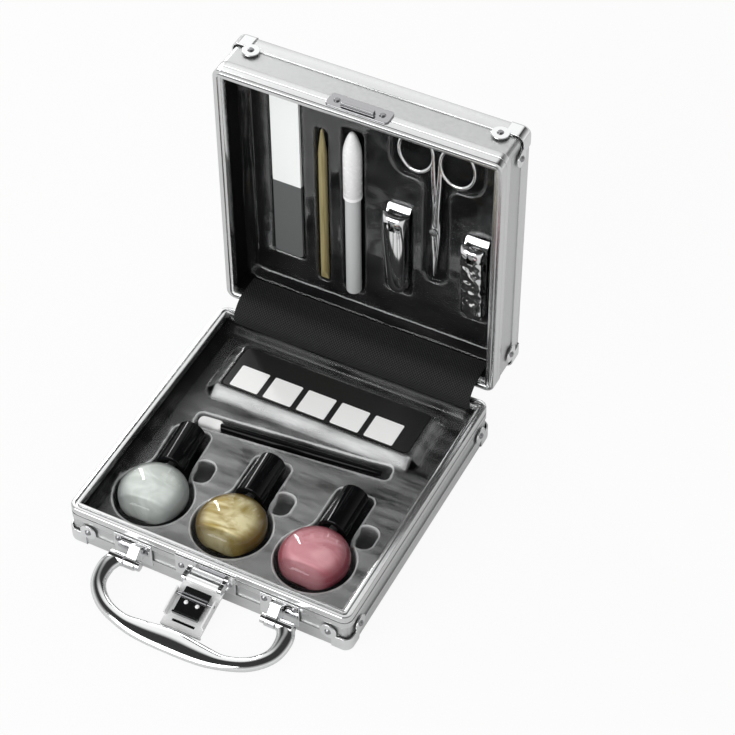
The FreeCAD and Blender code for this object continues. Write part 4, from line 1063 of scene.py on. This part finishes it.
leverForm = {
    "height": 12.6, "floor": 5.9, "crown": 1.15, "stations": 44, "ringPoints": 28, "square": (0.55, 0.45),
    "top": ((-0.475, 0.615), (-0.468, 0.645), (-0.44, 0.672), (-0.40, 0.69), (0.29, 0.952), (0.36, 0.985),
            (0.42, 1.0), (0.452, 0.97), (0.474, 0.90), (0.485, 0.80)),
    "under": ((-0.475, 0.585), (-0.468, 0.565), (-0.44, 0.56), (-0.40, 0.575), (0.24, 0.79), (0.28, 0.775),
              (0.33, 0.66), (0.37, 0.58), (0.43, 0.565), (0.465, 0.60), (0.485, 0.68)),
    "post": 0.39, "slot": (1.8, 3.3), "cross": (0.39, 0.76), "bore": 0.8,
    "sizes": {"large": (55.5, 12.2, 9.6), "small": (52.0, 12.2, 10.4)},  # length, width at the head and tail
    "places": {"large": (13.2, -20.25), "small": (54.8, -22.5)},
}


def between(points, place):  # height on a line of points
    for (a, low), (b, high) in zip(points, points[1:]):
        if place <= b:
            return low + (high - low) * (place - a) / (b - a)
    return points[-1][1]


def leverRings(length, head, tail):
    form, rings = leverForm, []
    first, last = form["top"][0][0], form["top"][-1][0]
    for index in range(form["stations"] + 1):
        turn = math.pi * index / form["stations"]
        along = first + (last - first) * (1 - math.cos(turn)) / 2
        end = (along + 0.5) * length
        half = (tail + (head - tail) * (along + 0.5)) / 2
        if end < half:
            half = math.sqrt(half ** 2 - (half - end) ** 2)
        top, under = (between(form[label], along) * form["height"] for label in ("top", "under"))
        middle, thick, ring = (top + under) / 2, (top - under) / 2, []
        for point in range(form["ringPoints"]):
            turn = math.tau * point / form["ringPoints"]
            x, z = (math.copysign(abs(share) ** power, share)
                    for share, power in zip((math.cos(turn), math.sin(turn)), form["square"]))
            ring.append((x * half, along * length, middle + z * thick - form["crown"] * x * x))
        rings.append(ring)
    return rings


def makeLevers():
    form = leverForm
    for name, (length, head, tail) in form["sizes"].items():
        lever = skinned(name + "ClipperLever", leverRings(length, head, tail))
        halfX, halfY = form["slot"]
        middle = form["post"] * length
        slot = box("slot", (-halfX, middle - halfY, 0), (halfX, middle + halfY, form["height"] * 2))
        bore = lathe("bore", ((0, -head), (form["bore"], -head), (form["bore"], head), (0, head)), 24)
        along, up = form["cross"]
        placed(bore, Matrix.Translation((0, along * length * mm, up * form["height"] * mm))
               @ Matrix.Rotation(math.radians(90), 4, "Y"))
        for cutter in (slot, bore):
            applied(lever, "BOOLEAN", operation="DIFFERENCE", object=cutter, solver="EXACT")
            bpy.data.objects.remove(cutter)
        smooth(closed(lever), 40)
        lidPlaced(lever, *form["places"][name], form["floor"])
        material = embossedFinish if name == "small" else chromeFinish
        finished(lever, name + "_clipper_lever", "chrome", material, name + "_clipper_lever")


makeLevers()
print("clipper levers made")


# scissors: round wire loops on slim shanks

scissorForm = {
    "screw": (33.0, 1.5), "floor": 8.8, "thickness": 1.6, "gap": 0.2, "ring": (11.2, 44.5), "loop": (8.95, 11.65),
    "wire": (1.0, 0.78), "ringPoints": 16,
    "stations": ((-29.5, 0, 0.35, 0.5), (-22, 0, 1.0, 0.65), (-12, 0, 1.7, 0.78), (-3, 0, 2.2, 0.8),
                 (3, 0.1, 2.2, 0.8), (9, 0.5, 1.75, 0.8), (18, 1.1, 1.45, 0.8), (30, 1.9, 1.3, 0.8),
                 (38, 2.25, 1.15, 0.78), (43, 2.25, 1.0, 0.76)),  # place, shift, half width, half thickness
}


def makeScissors():
    form = scissorForm
    turns = [math.tau * i / form["ringPoints"] for i in range(form["ringPoints"])]
    for side, name, layer in ((-1, "fixed", 0), (1, "moving", 1)):
        rings = [[(side * shift + half * math.cos(t), y, thick * math.sin(t)) for t in turns]
                 for y, shift, half, thick in form["stations"]]
        shank = skinned("shank", rings)
        clearAll()
        bpy.ops.mesh.primitive_torus_add(major_segments=80, minor_segments=16, major_radius=1 * mm,
                                         minor_radius=form["wire"][0] * 0.1 * mm)
        loop = bpy.context.active_object
        loop.scale = (form["loop"][0], form["loop"][1], form["wire"][1] / form["wire"][0] * 10)
        loop.location = (side * form["ring"][0] * mm, form["ring"][1] * mm, 0)
        bpy.ops.object.transform_apply(location=True, rotation=True, scale=True)
        half = joined([shank, loop], "scissorBlade" + name.capitalize())
        rise = form["floor"] + form["thickness"] / 2 + layer * (form["thickness"] + form["gap"])
        lidPlaced(smooth(half, 50), *form["screw"], rise)
        body = "lid" if name == "fixed" else "scissor_blade_moving"
        finished(half, body, "chrome", chromeFinish, "scissor_blade_" + name)


makeScissors()
print("scissors made")


# rims and edge angles: one profile swept round the case

rimProfile = ((0.8, -8.0), (0.3, -8.0), (0.08, -7.9), (0, -7.6), (0, -4.3), (0.3, -4.15), (0.3, -3.55), (0, -3.4),
              (0, -0.75), (0.1, -0.35), (0.32, -0.1), (0.7, 0))
rimTops = {"base": ((1.75, 0), (1.85, -0.9), (3.05, -0.9), (3.15, 0)),
           "lid": ((1.95, 0), (2.05, 0.7), (2.8, 0.7), (2.9, 0))}
rimInside = ((4.2, 0), (4.5, -0.12), (4.6, -0.4), (4.6, -4.0), (3.8, -4.0), (3.8, -2.0), (0.8, -2.0), (0.8, -8.0))
angleProfile = ((0.8, 8.8), (0.3, 8.8), (0.08, 8.7), (0, 8.4), (0, 1.6),
                (0.1, 1.2), (0.35, 0.92), (0.8, 0.8), (8.0, 0.8), (8.0, 1.6), (0.8, 1.6), (0.8, 8.8))
frameForm = {"half": 75.0, "rimTurn": 4.8, "angleTurn": 8.4, "turnSteps": 6,
             "baseHeight": 24.0, "lidHeight": 29.5}


def sweptFrame(name, profile, lift, turn):
    half, inner = frameForm["half"], frameForm["half"] - turn
    points = [(half - inset, -inner, lift + height) for inset, height in profile]
    obj = startPoint(name, *points[0])
    drawLine(points)
    bpy.ops.mesh.select_all(action="SELECT")
    run = inner * 2 * mm
    for step, corner in (((0, run, 0), (inner, inner)), ((-run, 0, 0), (-inner, inner)),
                         ((0, -run, 0), (-inner, -inner)), ((run, 0, 0), (inner, -inner))):
        bpy.ops.mesh.extrude_region_move(TRANSFORM_OT_translate={"value": step})
        bpy.ops.mesh.spin(steps=frameForm["turnSteps"], angle=-math.pi / 2,
                          center=(corner[0] * mm, corner[1] * mm, 0), axis=(0, 0, 1))
    leaveEdit()
    return smooth(closed(obj), 25)


def makeFrames():
    for half, lift in (("base", frameForm["baseHeight"]), ("lid", frameForm["lidHeight"])):
        rim = sweptFrame(half + "Rim", rimProfile + rimTops[half] + rimInside, lift, frameForm["rimTurn"])
        angles = sweptFrame(half + "EdgeAngles", angleProfile, 0, frameForm["angleTurn"])
        for piece, replaced in ((rim, half + "_rim"), (angles, half + "_edge_angles")):
            if half == "base":
                placed(piece, Matrix.Translation(at(0, 0, 0)))
            else:
                lidPlaced(piece, 0, 0, 0)
            finished(piece, half, "rim_aluminium", rimFinish, replaced)


makeFrames()
print("rims and edge angles made")


# woven cloth behind the hinge

clothForm = {
    "width": 132.0, "thickness": 0.55, "columns": 24,
    "path": ((70.1, 19.5), (70.08, 21.8), (70.25, 24.2), (71.3, 26.6), (73.4, 29.0), (76.0, 30.9), (79.2, 31.95),
             (83.0, 32.1), (87.5, 32.1), (91.6, 32.1)),
    "stepsPerPoint": 4, "bendStart": (0, 70.2, 24.0), "bendEnd": (0, 79.2, 32.0),
}


def makeCloth():
    form = clothForm
    count = (len(form["path"]) - 1) * form["stepsPerPoint"]
    path = [curvePoint(form["path"], i / form["stepsPerPoint"]) for i in range(count + 1)]
    points = [(-form["width"] / 2, y, z) for y, z in path]
    obj = startPoint("hingeCloth", *points[0])
    drawLine(points)
    bpy.ops.mesh.select_all(action="SELECT")
    step = form["width"] / form["columns"] * mm
    for column in range(form["columns"]):
        bpy.ops.mesh.extrude_region_move(TRANSFORM_OT_translate={"value": (step, 0, 0)})
    leaveEdit()
    length, travelled = 0.0, [0.0]
    for a, b in zip(path, path[1:]):
        length += math.dist(a, b)
        travelled.append(length)
    layer = obj.data.uv_layers.active
    for loop in obj.data.loops:  # the map runs with the threads
        place = obj.data.vertices[loop.vertex_index].co / mm
        nearest = min(range(len(path)), key=lambda i: math.dist(path[i], (place.y, place.z)))
        layer.data[loop.index].uv = (place.x / form["width"] + 0.5, travelled[nearest] / length)
    closed(obj)
    applied(obj, "SOLIDIFY", thickness=form["thickness"] * mm, offset=0)
    smooth(obj, 50)
    placed(obj, Matrix.Translation(at(0, 0, 0)))
    obj.data.materials.clear()
    obj.data.materials.append(clothMaterial)
    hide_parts("hinge_cloth")
    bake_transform(obj)
    print("cloth laid,", round(length, 1), "mm long")


makeCloth()


# tools in the lid

alongUp = Matrix.Rotation(math.radians(-90), 4, "X")  # what was spun upright lies along the lid
pencilForm = {
    "place": (-11.4, -58.5, 10.6), "barrel": 3.9, "barrelLength": 63.0, "barrelEnd": 0.8, "cap": 4.7,
    "capSteps": ((0.3, 0), (0, 0.3), (0, 1.6), (0.12, 1.8), (0.12, 2.2), (0, 2.4), (0, 27.0), (0.12, 29.5),
                 (0.45, 32.0), (1.0, 34.6), (1.8, 37.2), (2.7, 39.4), (3.3, 40.5), (3.9, 41.0)),  # inset and height
}
stickForm = {"place": (-28.3, -58.6, 9.2), "radius": 2.2, "length": 98.5, "point": 14.0, "chisel": 7.0, "edge": 0.4,
             "shoulder": ((0, -1.5), (0.06, 0), (0.3, 2.5)), "tip": ((0.75, -1.2), (0.5, -0.4), (0.25, 0))}
fileForm = {"place": (-47.8, 2.4, 8.9), "half": (7.8, 52.0), "corner": 2.4, "thickness": 2.0, "soft": 0.25}


def roundedOutline(half, radius, count=6):
    points = []
    for start, sx, sy in ((0, 1, 1), (90, -1, 1), (180, -1, -1), (270, 1, -1)):
        centre = (sx * (half[0] - radius), sy * (half[1] - radius))
        points += arcPoints(centre, radius, start, start + 90, count)
    return points


def makePencil():
    form = pencilForm
    r, long, end = form["barrel"], form["barrelLength"], form["barrelEnd"]
    barrel = lathe("pencilBarrel", [(0, 0), (r - end - 0.1, 0)] + arcPoints((r - end, end), end, -90, 0, 5) + [
        (r, long - 0.4), (r - 0.3, long), (0, long)], 48)
    steps = [(form["cap"] - inset, height) for inset, height in form["capSteps"]]
    profile = [(0, 0)] + steps + [(0, steps[-1][1])]
    top = lathe("pencilCap", profile, 48)
    for piece, rise, slotName, material, node in ((barrel, 0, "pencil_grey", pencilGrey, "pencil_barrel"),
                                                  (top, long, "pencil_white", pencilWhite, "pencil_cap")):
        placed(piece, Matrix.Translation((0, rise * mm, 0)) @ alongUp)
        lidPlaced(smooth(piece, 40), *form["place"])
        finished(piece, "lid", slotName, material, node)


def makeStick():
    form = stickForm
    r, long, start = form["radius"], form["length"], form["length"] - form["point"]
    profile = [(0, 0), (r, 0)] + [(r - inset, start + height) for inset, height in form["shoulder"]]
    profile += [(radius, long + height) for radius, height in form["tip"]] + [(0, long)]
    stick = lathe("orangeStick", profile, 32)
    slope = (r - form["edge"]) / form["chisel"]
    for side in (-1, 1):  # the flat end is pared from both sides
        only(stick)
        edit()
        bpy.ops.mesh.select_all(action="SELECT")
        bpy.ops.mesh.bisect(plane_co=(0, side * form["edge"] * mm, 0), plane_no=(0, side, -slope), use_fill=True,
                            clear_outer=True)
        leaveEdit()
    closed(stick)
    placed(stick, alongUp)
    lidPlaced(smooth(stick, 30), *form["place"])
    finished(stick, "lid", "stick_wood", stickMaterial, "orange_stick")


def makeFile():
    form = fileForm
    board = flatShape("nailFile", roundedOutline(form["half"], form["corner"]), form["thickness"])
    rounded(board, form["soft"], 2, 60)
    lidPlaced(board, *form["place"])
    finished(board, "lid", "file_board", fileMaterial, "nail_file")


makePencil()
makeStick()
makeFile()
print("lid tools made")


# stencil card and brush in the base

cardForm = {"centre": (0, 44.8, 18.2), "half": (51.5, 13.7), "corner": 2.2, "thickness": 0.6, "soft": 0.12}
stencilForm = {"half": (7.8, 7.2), "corner": 0.7, "thickness": 0.3, "soft": 0.1, "pitch": 18.7, "count": 5,
               "row": (-2.5, 39.2, 18.8)}
brushForm = {"centre": (-2.5, 14.2, 10.0), "turn": 6.0, "start": -50.0, "tip": (12.8, 6.2, 4.2), "axis": 2.4,
             "tipCorner": 2.6, "tipEdge": 1.3, "inTip": 1.2,
             "handle": ((0, 0), (1.5, 0), (1.9, 0.4), (1.98, 6), (2.25, 16), (2.4, 28), (2.3, 44), (1.95, 64),
                        (1.6, 80), (1.5, 84), (1.2, 85), (0, 85.2))}


def makeCard():
    card = flatShape("stencilCard", roundedOutline(cardForm["half"], cardForm["corner"]), cardForm["thickness"])
    rounded(card, cardForm["soft"], 2, 60)
    placed(card, Matrix.Translation(at(*cardForm["centre"])))
    finished(card, "base", "card", cardFinish, "stencil_card")
    form = stencilForm
    square = flatShape("stencilSheets", roundedOutline(form["half"], form["corner"], 3), form["thickness"])
    rounded(square, form["soft"], 2, 60)
    applied(square, "ARRAY", count=form["count"], use_relative_offset=False, use_constant_offset=True,
            constant_offset_displace=(form["pitch"] * mm, 0, 0))
    x, y, z = form["row"]
    placed(square, Matrix.Translation(at(x - form["pitch"] * (form["count"] - 1) / 2, y, z)))
    finished(square, "base", "sheet_white", whiteSheetFinish, "stencil_sheets")


def makeBrush():
    form = brushForm
    long, wide, high = form["tip"]
    tip = box("brushTip", (0, -wide / 2, 0), (long, wide / 2, high))
    pick(tip, "EDGE", lambda edge: abs(edgeRun(tip, edge).z) > 0.9)
    bpy.ops.mesh.bevel(offset=form["tipCorner"] * mm, segments=5, affect="EDGES")
    leaveEdit()
    rounded(tip, form["tipEdge"], 4, 40)
    handle = lathe("brushHandle", form["handle"], 40)
    placed(handle, Matrix.Translation(((long - form["inTip"]) * mm, 0, form["axis"] * mm))
           @ Matrix.Rotation(math.radians(90), 4, "Y"))
    smooth(handle, 40)
    place = turnedTo(at(*form["centre"]), form["turn"]) @ Matrix.Translation((form["start"] * mm, 0, 0))
    placed(tip, place)
    placed(handle, place)
    finished(tip, "base", "brush_white", brushFinish, "nail_brush_tip")
    finished(handle, "base", "black_gloss", blackFinish, "nail_brush_handle")


makeCard()
makeBrush()
print("card and brush made")
